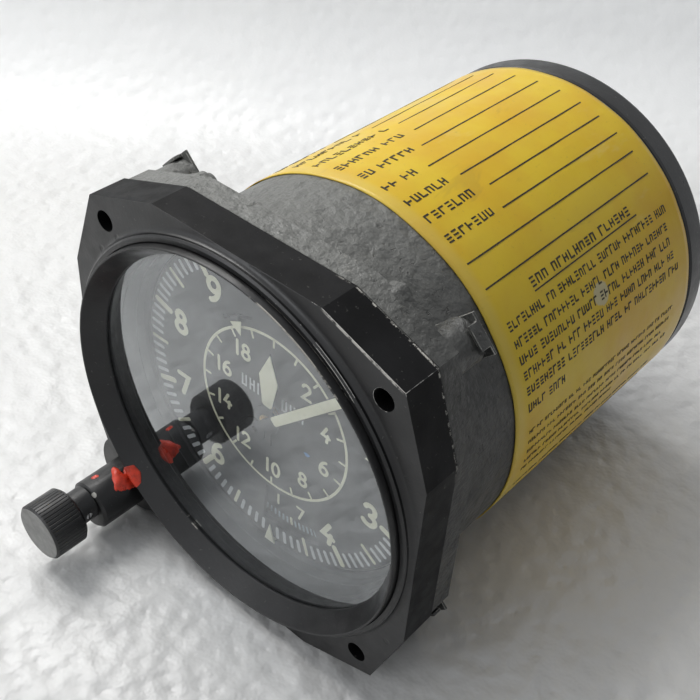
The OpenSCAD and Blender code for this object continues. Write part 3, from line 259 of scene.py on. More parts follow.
def black_enamel(colours, name="black_enamel", rough=0.34, gloss=0.5, pits=(), holes=(), front=None,
                 chip=None, rims=(), edges=()):
    """Black paint, with the small marks that one piece has.

    Those are pits, bare holes, a grey front end, a chip, worn rims at a place along the axis, and worn
    straight edges given by their direction outwards and distance from the axis.
    """
    f = Finish(name, Specular_IOR_Level=gloss)
    broad, grain = f.noise(70, 4), f.noise(1700, 2)
    body = f.mix(f.level(broad, 0.35, 0.7), tint(colours.enamel, 0.6), tint(colours.enamel, 1.6))
    speck = f.level(f.noise(1100, 2, 0.7), 0.67, 0.75)
    body = f.mix(f.times(speck, 0.6), body, (0.10, 0.098, 0.09))
    height = f.plus(f.times(grain, 0.8), f.times(f.noise(420, 3), 0.7))
    dull = f.level(f.noise(260, 4), 0.25, 0.8, rough - 0.07, rough + 0.1)
    if pits:
        # Painted shade: each pit is a dent, and its colour is darkened inside it
        pit = f.most([f.near(place, radius) for *place, radius in pits])
        body = f.mix(f.times(pit, 0.85), body, (0.003, 0.003, 0.003))
        height = f.math("SUBTRACT", height, f.times(pit, 3.5))
    if holes:
        bore_r, bare_from, bare_to = 2.2, 0.5, 1.1
        deep = f.times(bores(f, holes, bore_r), f.level(f.axis(1), bare_from * MM, bare_to * MM))
        bare = f.times(deep, f.level(f.noise(1300, 4), 0.45, 0.6))
        body = f.mix(bare, body, (0.85, 0.84, 0.80))
    if front is not None:
        soft_edge = 0.06
        end = f.level(f.axis(1), front * MM, (front + soft_edge) * MM, 1.0, 0.0)
        grey = f.mix(f.level(f.noise(500, 4), 0.3, 0.7), (0.16, 0.16, 0.155), (0.23, 0.23, 0.22))
        body = f.mix(end, body, grey)
    if chip is not None:
        spot = f.level(f.plus(f.near(chip[:3], chip[3]), f.noise(900, 3)), 1.05, 1.2)
        body = f.mix(spot, body, (0.55, 0.54, 0.50))
    for y0, y1, point, radius in rims:
        rim = f.times(f.level(f.axis(1), y0 * MM, y1 * MM), f.near(point, radius))
        bare = f.level(f.noise(520, 4, 0.75), 0.5, 0.6)
        body = f.mix(f.times(rim, bare), body, (0.62, 0.60, 0.55))
    for out, reach, point, radius in edges:
        past = f.measure("DOT_PRODUCT", f.place, out)
        strip = f.level(past, (reach - 0.6) * MM, (reach - 0.42) * MM)
        rim = f.times(strip, f.near(point, radius, 0.75))
        bare = f.level(f.noise(620, 4, 0.75), 0.42, 0.52)
        body = f.mix(f.times(rim, bare), body, (0.55, 0.53, 0.49))
    f.set("Base_Color", body)
    f.set("Roughness", dull)
    f.set("Normal", f.bump(height, 0.3, 0.1))
    return f.mat


def worn_edge(colours, name="worn_edge", amount=0.0, rubs=(), metal=(0.62, 0.61, 0.58)):
    """Enamel rubbed through to metal in short dashes, most where the places in rubs are near."""
    f = Finish(name)
    rub = f.plus(f.noise(700, 4, 0.7), f.times(f.noise(60, 2), 0.4))
    rub = f.rubbed(rub, rubs)
    bare = f.level(rub, 0.86 - amount, 0.98 - amount)
    f.set("Base_Color", f.mix(bare, tint(colours.enamel, 1.3), metal))
    f.set("Metallic", f.times(bare, 0.35))
    f.set("Roughness", f.level(bare, 0.0, 1.0, 0.45, 0.38))
    f.set("Normal", f.bump(f.noise(1500, 3), 0.5, 0.08))
    return f.mat


def cast_paint(colours, name="cast_grey", rubs=()):
    """Grey paint on a lumpy casting, rubbed pale where the places in rubs are near."""
    f = Finish(name, Specular_IOR_Level=0.4)
    blotch, lump, grain = f.noise(150, 4, 0.6), f.noise(380, 3, 0.55), f.noise(1500, 3, 0.6)
    body = f.mix(f.level(blotch, 0.3, 0.7), tint(colours.casting, 0.82), tint(colours.casting, 1.14))
    body = f.mix(f.level(lump, 0.3, 0.52), tint(colours.casting, 0.6), body)
    body = f.mix(f.times(f.level(grain, 0.56, 0.7), 0.4), body, tint(colours.casting, 1.5))
    pit = f.level(f.noise(560, 3, 0.6), 0.64, 0.7)
    body = f.mix(f.times(pit, 0.7), body, tint(colours.casting, 0.3))
    # Painted light: the colour grows paler towards the top, in dust-like specks, where light falls from above
    dust = f.level(f.axis(2), 24.0 * MM, 41.0 * MM, 0.0, 0.7)
    body = f.mix(f.times(dust, f.level(grain, 0.3, 0.6, 0.6, 1.0)), body, tint(colours.casting, 2.2))
    # Painted shade: the colour grows darker towards the right side, away from the light
    shaded_right = f.level(f.axis(0), 14.0 * MM, 34.0 * MM)
    painted_shade = f.times(shaded_right, f.level(blotch, 0.3, 0.6, 0.55, 0.85))
    body = f.mix(painted_shade, body, tint(colours.casting, 0.25))
    rub = f.times(f.noise(300, 5, 0.75), 0.9)
    rub = f.rubbed(rub, rubs)
    body = f.mix(f.level(rub, 0.66, 0.86), body, (0.46, 0.45, 0.41))
    f.set("Base_Color", body)
    f.set("Roughness", f.level(blotch, 0.3, 0.7, 0.38, 0.52))
    height = f.plus(f.times(lump, 1.6), f.times(f.cells(300), 0.8))
    height = f.plus(height, f.times(grain, 0.22))
    height = f.math("SUBTRACT", height, f.times(pit, 0.5))
    f.set("Normal", f.bump(height, 0.75, 0.75))
    return f.mat


def cast_edge(colours):
    f = Finish("cast_edge", Specular_IOR_Level=0.45)
    rub = f.level(f.noise(320, 5, 0.7), 0.42, 0.6)
    f.set("Base_Color", f.mix(rub, tint(colours.casting, 0.8), (0.42, 0.41, 0.38)))
    f.set("Roughness", f.level(rub, 0.0, 1.0, 0.55, 0.4))
    f.set("Normal", f.bump(f.noise(900, 3), 0.5, 0.15))
    return f.mat


def window_glass():
    """Thin clear window: what is behind shows straight through, under a mirrored veil and faint smears."""
    f = Finish("window_glass", Metallic=1.0, Base_Color=(0.90, 0.93, 0.95))
    f.set("Roughness", f.level(f.noise(70, 4, 0.6), 0.4, 0.8, 0.015, 0.07))
    # The mirrored image leans a little towards the knob, while the glass itself stays square
    mirror_lean = (-0.0245, 0.0, -0.0290)
    shape = f.node("ShaderNodeNewGeometry").outputs
    leaning = f.make("ShaderNodeVectorMath", {0: shape["Normal"], 1: mirror_lean}, operation="ADD")
    f.set("Normal", f.make("ShaderNodeVectorMath", {0: leaning}, operation="NORMALIZE"))
    veil = f.make("ShaderNodeFresnel", {"IOR": 1.5})
    smear = f.level(f.noise(45, 5, 0.7), 0.35, 0.8, 3.15, 4.2)
    share = f.math("MINIMUM", f.times(veil, smear), 0.9)
    f.show_through(f.times(share, f.math("SUBTRACT", 1.0, shape["Backfacing"])), clear_second=False)
    return f.mat


def two_tone(name, tones, blotch, low, sheen, rough, grain=None, **values):
    """A finish of two tones in blotches.

    Blotch and sheen are noise settings, low is where the second tone starts, rough is the range of the
    roughness, and grain is noise settings with a strength and a depth in millimetres.
    """
    f = Finish(name, **values)
    f.set("Base_Color", f.mix(f.level(f.noise(*blotch), low, 0.7), *tones))
    f.set("Roughness", f.level(f.noise(*sheen), 0.3, 0.7, *rough))
    if grain:
        settings, strength, depth = grain
        f.set("Normal", f.bump(f.noise(*settings), strength, depth))
    return f.mat


def dial_finish():
    return two_tone("dial_black", ((0.016, 0.017, 0.018), (0.034, 0.035, 0.036)), (60, 5), 0.3, (500, 3),
                    (0.5, 0.7), ((2200, 2), 0.15, 0.03), Specular_IOR_Level=0.35)


def paint_marks(name, colour, wear=0.35):
    """Hand-laid paint: slightly uneven in tone and thickness."""
    f = Finish(name, Specular_IOR_Level=0.3)
    thin = f.level(f.noise(650, 4, 0.7), 0.5, 0.75)
    f.set("Base_Color", f.mix(f.times(thin, wear), tuple(colour), tint(colour, 0.45)))
    f.set("Roughness", f.level(f.noise(900, 2), 0.3, 0.7, 0.55, 0.8))
    f.set("Normal", f.bump(f.noise(1600, 3), 0.3, 0.05))
    return f.mat


def tag_paper(colours):
    """Yellow paper under clear tape: orange tints, faded folds and a taped sheen."""
    f = Finish("tag_paper", Coat_Weight=0.3, Coat_Roughness=0.16, Specular_IOR_Level=0.25)
    broad = f.noise(42, 4, 0.6)
    body = f.mix(f.level(broad, 0.35, 0.7), tuple(colours.paper), (0.76, 0.46, 0.012))
    pale = f.level(f.noise(75, 5, 0.7, stretch=(1.0, 0.35, 1.0)), 0.6, 0.74)
    body = f.mix(f.times(pale, 0.35), body, (0.80, 0.66, 0.26))
    streak = f.level(f.noise(160, 4, 0.7, stretch=(1.0, 0.25, 1.0), twist=0.6), 0.62, 0.72)
    body = f.mix(f.times(streak, 0.3), body, (0.50, 0.31, 0.03))
    front_edge = f.plus(f.axis(1), f.times(f.noise(120, 3), 1.2 * MM))
    margin = f.level(front_edge, 34.8 * MM, 37.2 * MM, 0.34, 0.0)
    body = f.mix(margin, body, (0.72, 0.56, 0.16))
    torn = f.near(tuple(v / MM for v in clock(60.5, 40.3, 64.0)), 3.6)
    torn = f.level(f.plus(torn, f.times(f.noise(420, 4, 0.7), 0.9)), 0.85, 1.1)
    body = f.mix(f.times(torn, 0.75), body, (0.62, 0.60, 0.42))
    dust = f.level(f.noise(1400, 2, 0.6), 0.66, 0.75)
    body = f.mix(f.times(dust, 0.25), body, (0.35, 0.24, 0.05))
    f.set("Base_Color", body)
    f.set("Roughness", f.level(f.noise(90, 4), 0.3, 0.75, 0.32, 0.55))
    folds = f.noise(110, 4, 0.5, stretch=(1.0, 0.5, 1.0))
    height = f.plus(folds, f.times(f.noise(1200, 2), 0.08))
    f.set("Normal", f.bump(height, 0.3, 0.35))
    return f.mat


def plain_metal(name, colour, rough, stain=0.35, lines=None):
    """Bare metal with stains, and with fine lines where their stretch is given."""
    f = Finish(name, Metallic=1.0)
    old = f.level(f.noise(210, 5, 0.65), 0.42, 0.75)
    f.set("Base_Color", f.mix(f.times(old, stain), tuple(colour), tint(colour, 0.45)))
    fine = f.noise(900, 3, 0.6, stretch=lines)
    f.set("Roughness", f.level(fine, 0.25, 0.75, rough - 0.08, rough + 0.14))
    f.set("Normal", f.bump(fine, 0.18, 0.03))
    return f.mat


def rubber():
    return two_tone("black_rubber", ((0.012, 0.012, 0.012), (0.03, 0.03, 0.03)), (300, 4), 0.4, (800, 2),
                    (0.65, 0.85), ((1800, 2), 0.3, 0.05), Specular_IOR_Level=0.3)


def seal_paint(colours):
    return two_tone("seal_red", (tuple(colours.seal), tint(colours.seal, 0.55)), (500, 4), 0.35, (700, 2),
                    (0.25, 0.45), ((900, 3), 0.4, 0.12), Specular_IOR_Level=0.5)


def ruby():
    return two_tone("jewel_red", ((0.45, 0.03, 0.05), (0.25, 0.01, 0.03)), (900, 3), 0.4, (1500, 2),
                    (0.08, 0.2), Coat_Weight=0.5)


def ink():
    return two_tone("tag_ink", ((0.018, 0.016, 0.012), (0.10, 0.075, 0.02)), (1500, 3, 0.7), 0.45, (700, 2),
                    (0.4, 0.6), Specular_IOR_Level=0.3)


FINISHES = {}


def make_finishes(colours):
    """One finish for each of the record's material slots, and the finer ones beside them."""
    # Places in millimetres, (x, y, z), with a radius and, where there is wear, its amount
    pits = ((-34.5, 0.0, 26.0, 1.0), (-29.7, 0.0, 31.0, 0.8), (39.35, 0.0, -23.0, 0.9))
    holes = ((-32.9, 32.9), (32.9, 32.9), (32.9, -32.9))
    flange_rubs = ((28.1, 0.0, 39.9, 13.0, 0.42), (28.0, 8.0, 40.0, 15.0, 0.24),
                   (40.0, 8.0, 28.0, 10.0, 0.16))
    ring_rubs = ((22.0, 0.8, 31.0, 9.0, 0.3), (15.3, -3.2, 37.0, 11.0, 0.3), (-36.0, -3.0, -18.0, 6.0, 0.1),
                 (-17.3, -2.0, -37.2, 9.0, 0.16))
    cast_rubs = ((16.0, 10.0, 42.6, 8.0, 0.15), (26.0, 11.0, 40.0, 7.0, 0.1),
                 (-38.0, 12.0, 38.0, 8.0, 0.12))
    side_rims = ((7.5, 7.75, (30.0, 8.0, 39.0), 19.0), (7.5, 7.75, (40.0, 8.0, 27.0), 12.0))
    top_edge = ((0.3407, 0.0, 0.9402), 47.07, (28.0, 0.0, 40.0), 9.5)
    FINISHES.update(
        black_paint=black_enamel(colours),
        flange_paint=black_enamel(colours, "flange_enamel", 0.36, 0.5, pits, holes, edges=(top_edge,)),
        flange_side=black_enamel(colours, "flange_side", 0.5, 0.1, rims=side_rims),
        ring_paint=black_enamel(colours, "ring_enamel", 0.36, 0.45),
        knob_paint=black_enamel(colours, "knob_enamel", 0.42, front=-24.15),
        sleeve_paint=black_enamel(colours, "sleeve_enamel", 0.42, chip=(-30.8, -11.4, -29.6, 1.1)),
        worn_edge=worn_edge(colours, rubs=flange_rubs),
        ring_edge=worn_edge(colours, "ring_edge", -0.03, ring_rubs, (0.40, 0.38, 0.34)),
        brass_edge=worn_edge(colours, "brass_edge", 0.14, metal=(0.50, 0.36, 0.13)),
        grey_casting=cast_paint(colours, rubs=cast_rubs),
        cast_edge=cast_edge(colours),
        # The clip is rubbed pale near its top lip: wear, and a painted highlight where the lip faces up
        clip_paint=cast_paint(colours, "clip_paint", ((28.0, 30.0, 36.0, 6.0, 0.22),)),
        clear_glass=window_glass(),
        black_rubber=rubber(),
        plain_steel=plain_metal("plain_steel", (0.52, 0.52, 0.53), 0.34),
        zinc_sheet=plain_metal("zinc_sheet", (0.55, 0.53, 0.47), 0.38, stain=0.55),
        yellow_paper=tag_paper(colours),
        yellow_brass=plain_metal("yellow_brass", (0.72, 0.50, 0.20), 0.28, lines=(1.0, 8.0, 1.0)),
        light_alloy=plain_metal("light_alloy", (0.66, 0.66, 0.65), 0.36, lines=(6.0, 1.0, 1.0)),
        dial_black=dial_finish(),
        pointer_cream=paint_marks("pointer_cream", colours.cream, 0.2),
        mark_white=paint_marks("mark_white", (0.66, 0.69, 0.70), 0.3),
        mark_blue=paint_marks("mark_blue", (0.42, 0.50, 0.56), 0.4),
        fleck_blue=paint_marks("fleck_blue", (0.10, 0.26, 0.55), 0.3),
        jewel_red=ruby(),
        capsule_bronze=plain_metal("capsule_bronze", (0.58, 0.38, 0.19), 0.33, stain=0.5),
        seal_red=seal_paint(colours),
        tag_ink=ink(),
    )


# Mesh tools

def clock(angle, radius, y):
    """A point at a clock angle in degrees, clockwise from twelve as seen from the front, in metres."""
    a = math.radians(angle)
    return Vector((radius * math.sin(a), y, radius * math.cos(a))) * MM


def finish_piece(name, mesh, materials, body, stands_for=()):
    """An object at the origin that rides on a body and takes the given finishes."""
    obj = bpy.data.objects.new(name, mesh)
    bpy.context.scene.collection.objects.link(obj)
    mesh.materials.clear()
    for m in materials:
        mesh.materials.append(FINISHES[m])
    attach(obj, body)
    if stands_for:
        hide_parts(*stands_for)
    return obj


def mesh_from(bm, name, sharp=35.0, recalc=True):
    if recalc:
        bmesh.ops.remove_doubles(bm, verts=bm.verts, dist=1e-7)
        bmesh.ops.recalc_face_normals(bm, faces=bm.faces)
    for f in bm.faces:
        f.smooth = True
    mesh = bpy.data.meshes.new(name)
    bm.to_mesh(mesh)
    bm.free()
    mesh.set_sharp_from_angle(angle=math.radians(sharp))
    return mesh


def dressed(node, name, materials, width=0.25, segments=2, limit=32.0, keep=None):
    """A merged copy of a CAD node with its edges eased, which stands for that node.

    The finishes are those of its faces, of its eased edges and, where given, of the sides round the axis.
    With keep, a point and a direction, only what lies past that point is kept.
    """
    source = frame["nodes"][node]
    bm = bmesh.new()
    bm.from_mesh(source.data)
    bmesh.ops.remove_doubles(bm, verts=bm.verts, dist=2e-6)
    flat_angle = math.radians(0.4)
    bmesh.ops.dissolve_limit(bm, angle_limit=flat_angle, verts=bm.verts, edges=bm.edges)
    if keep:
        point, way = keep
        bmesh.ops.triangulate(bm, faces=bm.faces)
        bmesh.ops.bisect_plane(bm, geom=bm.verts[:] + bm.edges[:] + bm.faces[:], plane_co=point,
                               plane_no=way, clear_inner=True)
        bmesh.ops.holes_fill(bm, edges=[e for e in bm.edges if e.is_boundary])
        bmesh.ops.dissolve_limit(bm, angle_limit=flat_angle, verts=bm.verts, edges=bm.edges)
    mesh = mesh_from(bm, name, sharp=limit, recalc=False)
    obj = finish_piece(name, mesh, materials, source["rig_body"], (node,))
    for p in mesh.polygons:
        p.material_index = 2 if len(materials) > 2 and abs(p.normal.y) < 0.2 else 0
    ease = obj.modifiers.new("Eased edges", "BEVEL")
    ease.limit_method = "ANGLE"
    ease.angle_limit = math.radians(limit)
    ease.width = width * MM
    ease.segments = segments
    ease.miter_outer = "MITER_ARC"
    ease.material = 1 if len(materials) > 1 else -1
    ease.harden_normals = True
    return obj


def sheet(bm, rows, turned=False, wanted=None):
    """Four-sided faces between rows of points, turned the other way if asked, where they are wanted."""
    for one, two in zip(rows, rows[1:]):
        for j in range(len(one) - 1):
            if turned:
                quad = (one[j], two[j], two[j + 1], one[j + 1])
            else:
                quad = (one[j], one[j + 1], two[j + 1], two[j])
            if wanted is None or wanted(quad):
                bm.faces.new(quad)


def thicken(obj, thickness):
    """Gives a skin its thickness, in millimetres, inwards from its outer face."""
    body = obj.modifiers.new("Thickness", "SOLIDIFY")
    body.thickness = thickness * MM
    body.offset = -1.0


def prism(bm, outline, y0, y1):
    """A flat solid with an outline of (x, z) points in millimetres, between two places along the axis."""
    front = [bm.verts.new((x * MM, y0 * MM, z * MM)) for x, z in outline]
    back = [bm.verts.new((x * MM, y1 * MM, z * MM)) for x, z in outline]
    bm.faces.new(front)
    bm.faces.new(list(reversed(back)))
    n = len(outline)
    for i in range(n):
        bm.faces.new((front[i], back[i], back[(i + 1) % n], front[(i + 1) % n]))


def stroke(bm, points, width, y0, y1, closed=False):
    """A painted line along (x, z) points; an open one has round ends."""
    pts = [Vector(p) for p in points]
    n = len(pts)
    h = width / 2
    left, right = [], []
    for i in range(n):
        d = []
        if closed or i > 0:
            d.append((pts[i] - pts[(i - 1) % n]).normalized())
        if closed or i < n - 1:
            d.append((pts[(i + 1) % n] - pts[i]).normalized())
        along = (d[0] + d[-1]).normalized()
        reach = h / max(0.5, along.dot(d[0]))
        side = Vector((-along.y, along.x)) * reach
        left.append(pts[i] + side)
        right.append(pts[i] - side)
    if not closed:
        ends = []
        for p, start in ((pts[-1], right[-1]), (pts[0], left[0])):
            r = start - p
            ends.append([p + Matrix.Rotation(math.pi * k / 8, 2) @ r for k in range(1, 8)])
        prism(bm, right + ends[0] + left[::-1] + ends[1], y0, y1)
        return
    rows = []
    for pair in zip(left, right):
        rows.append([bm.verts.new((q.x * MM, y * MM, q.y * MM)) for y in (y0, y1) for q in pair])
    for i in range(n):
        a, b = rows[i], rows[(i + 1) % n]
        bm.faces.new((a[0], a[1], b[1], b[0]))
        bm.faces.new((a[2], b[2], b[3], a[3]))
        bm.faces.new((a[0], b[0], b[2], a[2]))
        bm.faces.new((a[1], a[3], b[3], b[1]))


def bow(cx, cy, rx, ry, a0, a1, n=18):
    return [(cx + rx * math.cos(math.radians(a0 + (a1 - a0) * i / n)),
             cy + ry * math.sin(math.radians(a0 + (a1 - a0) * i / n))) for i in range(n + 1)]


def digit(c):
    """Strokes of a hand-lettered digit in a box 0.6 wide and 1 high: (points, closed)."""
    return {
        "0": [(bow(0.3, 0.5, 0.25, 0.46, 0, 340), True)],
        "1": [([(0.3, 0.04), (0.3, 0.96)], False)],
        "2": [(bow(0.29, 0.72, 0.24, 0.24, 165, -50) + [(0.05, 0.05), (0.57, 0.05)], False)],
        "3": [(bow(0.28, 0.73, 0.22, 0.23, 150, -80), False), (bow(0.27, 0.27, 0.27, 0.23, 80, -150), False)],
        "4": [([(0.34, 0.95), (0.07, 0.42), (0.55, 0.36)], False), ([(0.44, 0.5), (0.38, 0.04)], False)],
        "5": [([(0.52, 0.95), (0.12, 0.95), (0.1, 0.55)] + bow(0.27, 0.32, 0.26, 0.28, 120, -150), False)],
        "6": [(bow(0.3, 0.3, 0.25, 0.26, 0, 340), True), (bow(0.52, 0.32, 0.47, 0.64, 180, 100), False)],
        "7": [([(0.05, 0.93), (0.55, 0.93), (0.24, 0.04)], False)],
        "8": [(bow(0.3, 0.74, 0.2, 0.21, 0, 340), True), (bow(0.3, 0.28, 0.25, 0.24, 0, 340), True)],
        "9": [(bow(0.3, 0.7, 0.25, 0.26, 0, 340), True), (bow(0.08, 0.68, 0.47, 0.64, 0, -80), False)],
    }[c]


def number(bm, text, x, z, height, width, y0, y1, step=0.62):
    """A plain number centred on (x, z), upright on the dial; each stroke lies a hair above the last."""
    start = x - step * height * len(text) / 2 + 0.01 * height
    for i, c in enumerate(text):
        for k, (pts, closed) in enumerate(digit(c)):
            at = [(start + (i * step + p[0]) * height, z + (p[1] - 0.5) * height) for p in pts]
            stroke(bm, at, width, y0 - 0.006 * k, y1, closed)


# Marks that repeat

def tick_tree():
    """Geometry Nodes: marks round a circle, with named sizes."""
    tree = bpy.data.node_groups.new("Round marks", "GeometryNodeTree")
    face = tree.interface
    face.new_socket("Geometry", in_out="OUTPUT", socket_type="NodeSocketGeometry")
    sizes = (("Count", "NodeSocketInt", 100), ("Leave out every", "NodeSocketInt", 0),
             ("Inner radius", "NodeSocketFloat", 0.03), ("Outer radius", "NodeSocketFloat", 0.034),
             ("Width", "NodeSocketFloat", 0.0005), ("Front", "NodeSocketFloat", 0.01),
             ("Rise", "NodeSocketFloat", 0.00005), ("Start angle", "NodeSocketFloat", 0.0),
             ("Sweep", "NodeSocketFloat", 2 * math.pi), ("Finish", "NodeSocketMaterial", None))
    for label, kind, default in sizes:
        s = face.new_socket(label, in_out="INPUT", socket_type=kind)
        if default is not None:
            s.default_value = default
    t = Nodes(tree)
    given = t.node("NodeGroupInput").outputs
    middle = t.times(t.plus(given["Inner radius"], given["Outer radius"]), 0.5)
    length = t.math("SUBTRACT", given["Outer radius"], given["Inner radius"])
    line = t.make("GeometryNodeMeshLine", {"Count": given["Count"], "Offset": (0, 0, 0)})
    index = t.make("GeometryNodeInputIndex", {})
    share = t.math("DIVIDE", index, given["Count"])
    turn = t.plus(t.times(share, given["Sweep"]), given["Start angle"])
    spot = t.make("ShaderNodeCombineXYZ", {0: t.times(t.math("SINE", turn), middle), 1: given["Front"],
                                           2: t.times(t.math("COSINE", turn), middle)})
    points = t.make("GeometryNodeSetPosition", {"Geometry": line, "Position": spot})
    # A mark is left out where its number divides by the step
    step = given["Leave out every"]
    rest = t.math("MODULO", index, t.math("MAXIMUM", step, 1))
    out = t.times(t.math("LESS_THAN", rest, 0.5), t.math("GREATER_THAN", step, 0.5))
    # One mark: a bar with round ends, raised towards the front
    shape = t.make("GeometryNodeCurvePrimitiveQuadrilateral", {"Width": given["Width"], "Height": length})
    ends = t.make("GeometryNodeFilletCurve",
                  {"Count": 4, "Curve": shape, "Radius": t.times(given["Width"], 0.46)}, mode="POLY")
    flat = t.make("GeometryNodeFillCurve", {0: ends}, mode="NGONS")
    raised = t.make("GeometryNodeExtrudeMesh", {"Mesh": flat, "Offset Scale": given["Rise"]})
    under = t.make("GeometryNodeFlipFaces", {0: flat})
    closed = t.node("GeometryNodeJoinGeometry")
    for side in (raised, under):
        t.feed(closed.inputs[0], side)
    weld = t.make("GeometryNodeMergeByDistance", {"Distance": 1e-6, 0: closed.outputs[0]})
    bar = t.make("GeometryNodeTransform", {"Rotation": (math.pi / 2, 0.0, 0.0), "Geometry": weld})
    many = t.make("GeometryNodeInstanceOnPoints",
                  {"Points": points, "Selection": t.math("LESS_THAN", out, 0.5), "Instance": bar,
                   "Rotation": t.make("ShaderNodeCombineXYZ", {1: turn})})
    real = t.make("GeometryNodeRealizeInstances", {0: many})
    paint = t.make("GeometryNodeSetMaterial", {"Geometry": real, "Material": given["Finish"]})
    t.feed(t.node("NodeGroupOutput").inputs[0], paint)
    return tree


def round_marks(name, finish, body, slot, **sizes):
    """Marks round a circle as a plain mesh."""
    tree = bpy.data.node_groups.get("Round marks") or tick_tree()
    maker = bpy.data.objects.new(name + "_maker", bpy.data.meshes.new(name + "_maker"))
    bpy.context.scene.collection.objects.link(maker)
    mod = maker.modifiers.new("Round marks", "NODES")
    mod.node_group = tree
    wanted = {k.replace("_", " "): v for k, v in sizes.items()}
    wanted["Finish"] = FINISHES[finish]
    for item in tree.interface.items_tree:
        if item.in_out == "INPUT" and item.name in wanted:
            mod[item.identifier] = wanted[item.name]
    deps = bpy.context.evaluated_depsgraph_get()
    mesh = bpy.data.meshes.new_from_object(maker.evaluated_get(deps))
    bpy.data.objects.remove(maker)
    mesh.name = name
    return finish_piece(name, mesh, (finish,), body)


# Operators

class ALTIMETER_OT_finishes(bpy.types.Operator):
    """Gives every CAD node the finish of its material slot"""

    bl_idname = "altimeter.finishes"
    bl_label = "Finishes"

    def execute(self, context):
        make_finishes(context.scene.altimeter_colours)
        painted = {"motion_stud": "dial_black", "sleeve_lock_screw": "black_paint",
                   "bezel_screws": "grey_casting", "centre_arbor": "black_paint", "km_index": "dial_black"}
        for part in frame["record"]["subparts"]:
            mesh = frame["nodes"][part["node"]].data
            mesh.materials.clear()
            mesh.materials.append(FINISHES[painted.get(part["node"], part["material_slot"])])
        return {"FINISHED"}


class ALTIMETER_OT_front(bpy.types.Operator):
    """Flange, retaining ring and their worn edges"""

    bl_idname = "altimeter.front"
    bl_label = "Flange and ring"

    def execute(self, context):
        dressed("bezel_flange", "flange", ("flange_paint", "worn_edge", "flange_side"), 0.3)
        dressed("cover_glass", "window", ("clear_glass",), 0.1)
        dressed("dial_clamp_ring", "dial_clamp", ("dial_black",), 0.1)
        dressed("retaining_ring", "ring", ("ring_paint", "ring_edge"), 0.14, 2, 24.0)
        return {"FINISHED"}


class ALTIMETER_OT_case(bpy.types.Operator):
    """Cast case, rear cap and their fastenings"""

    bl_idname = "altimeter.case"
    bl_label = "Case"

    def execute(self, context):
        dressed("case_body", "casting", ("grey_casting", "cast_edge"), 0.35)
        dressed("rear_cap", "cap", ("black_paint", "worn_edge"), 0.5, 3)
        dressed("anchor_clips", "clips", ("clip_paint", "cast_edge"), 0.12)
        return {"FINISHED"}


class ALTIMETER_OT_dial(bpy.types.Operator):
    """Marks and numbers on the dial plate"""

    bl_idname = "altimeter.dial"
    bl_label = "Dial marks"

    def execute(self, context):
        s = context.scene.altimeter_dial
        y1 = s.face_y + SINK
        y0 = s.face_y - s.mark_rise
        # Name, finish, count, which are left out, first clock angle, outer end, inner end and width
        rings = (("ten_metre_marks", "mark_white", 100, 5, 0.0, s.rim_r, s.ten_r, 0.84),
                 ("fifty_metre_marks", "pointer_cream", 20, 2, 0.0, s.rim_r, s.fifty_r, 0.85),
                 ("hundred_metre_marks", "pointer_cream", 10, 10, math.pi, s.rim_r, s.hundred_r, 1.35),
                 ("kilometre_marks", "pointer_cream", 20, 0, 0.0, s.km_r, s.km_r - s.km_tick, 0.5))
        for name, finish, count, left_out, start, outer, inner, width in rings:
            round_marks(name, finish, "case", "pointer_cream", Count=count, Leave_out_every=left_out,
                        Start_angle=start, Front=y1 * MM, Rise=(y1 - y0) * MM, Outer_radius=outer * MM,
                        Inner_radius=inner * MM, Width=width * MM)
        bm = bmesh.new()
        stroke(bm, bow(0, 0, s.km_r, s.km_r, 0, 356.25, 95), 0.6, y0, y1, True)
        # The five gives way to the pressure window
        hundreds = [(k, k, s.number_r, s.number_h, 1.2) for k in (1, 2, 3, 4, 6, 7, 8, 9, 0)]
        kilometres = [(2 * k, k, s.km_number_r, s.km_number_h, 0.7) for k in range(1, 10)]
        for value, place, radius, height, width in hundreds + kilometres:
            a = math.radians(36 * place)
            number(bm, str(value), radius * math.sin(a), radius * math.cos(a), height, width, y0, y1)
        finish_piece("dial_numbers", mesh_from(bm, "dial_numbers"), ("pointer_cream",), "case")
        # Plain bars on both sides of the short pointer, in blocks of two uprights and a cross bar
        bm = bmesh.new()
        foot, head, thick = 3.0, 5.9, 0.4
        for k, x in enumerate((-7.6, -5.5, -3.4, 3.0, 5.1, 7.2)):
            cross = (3.0, 4.3, 5.5)[k % 3]
            for left, right, low, high in ((x - 0.7, x - 0.3, foot, head), (x + 0.3, x + 0.7, foot, head),
                                           (x - 0.3, x + 0.3, cross, cross + thick)):
                prism(bm, [(left, low), (right, low), (right, high), (left, high)], y0, y1)
        finish_piece("dial_title_bars", mesh_from(bm, "dial_title_bars"), ("mark_white",), "case")
        bm = bmesh.new()
        c = clock(113.5, 10.0, 0) / MM
        prism(bm, [(c.x + 0.7 * math.cos(t) * (1 + 0.3 * math.sin(3 * t)), c.z + 0.45 * math.sin(t))
                   for t in (i * math.pi / 7 for i in range(14))], y0, y1)
        finish_piece("dial_fleck", mesh_from(bm, "dial_fleck"), ("fleck_blue",), "case")
        return {"FINISHED"}


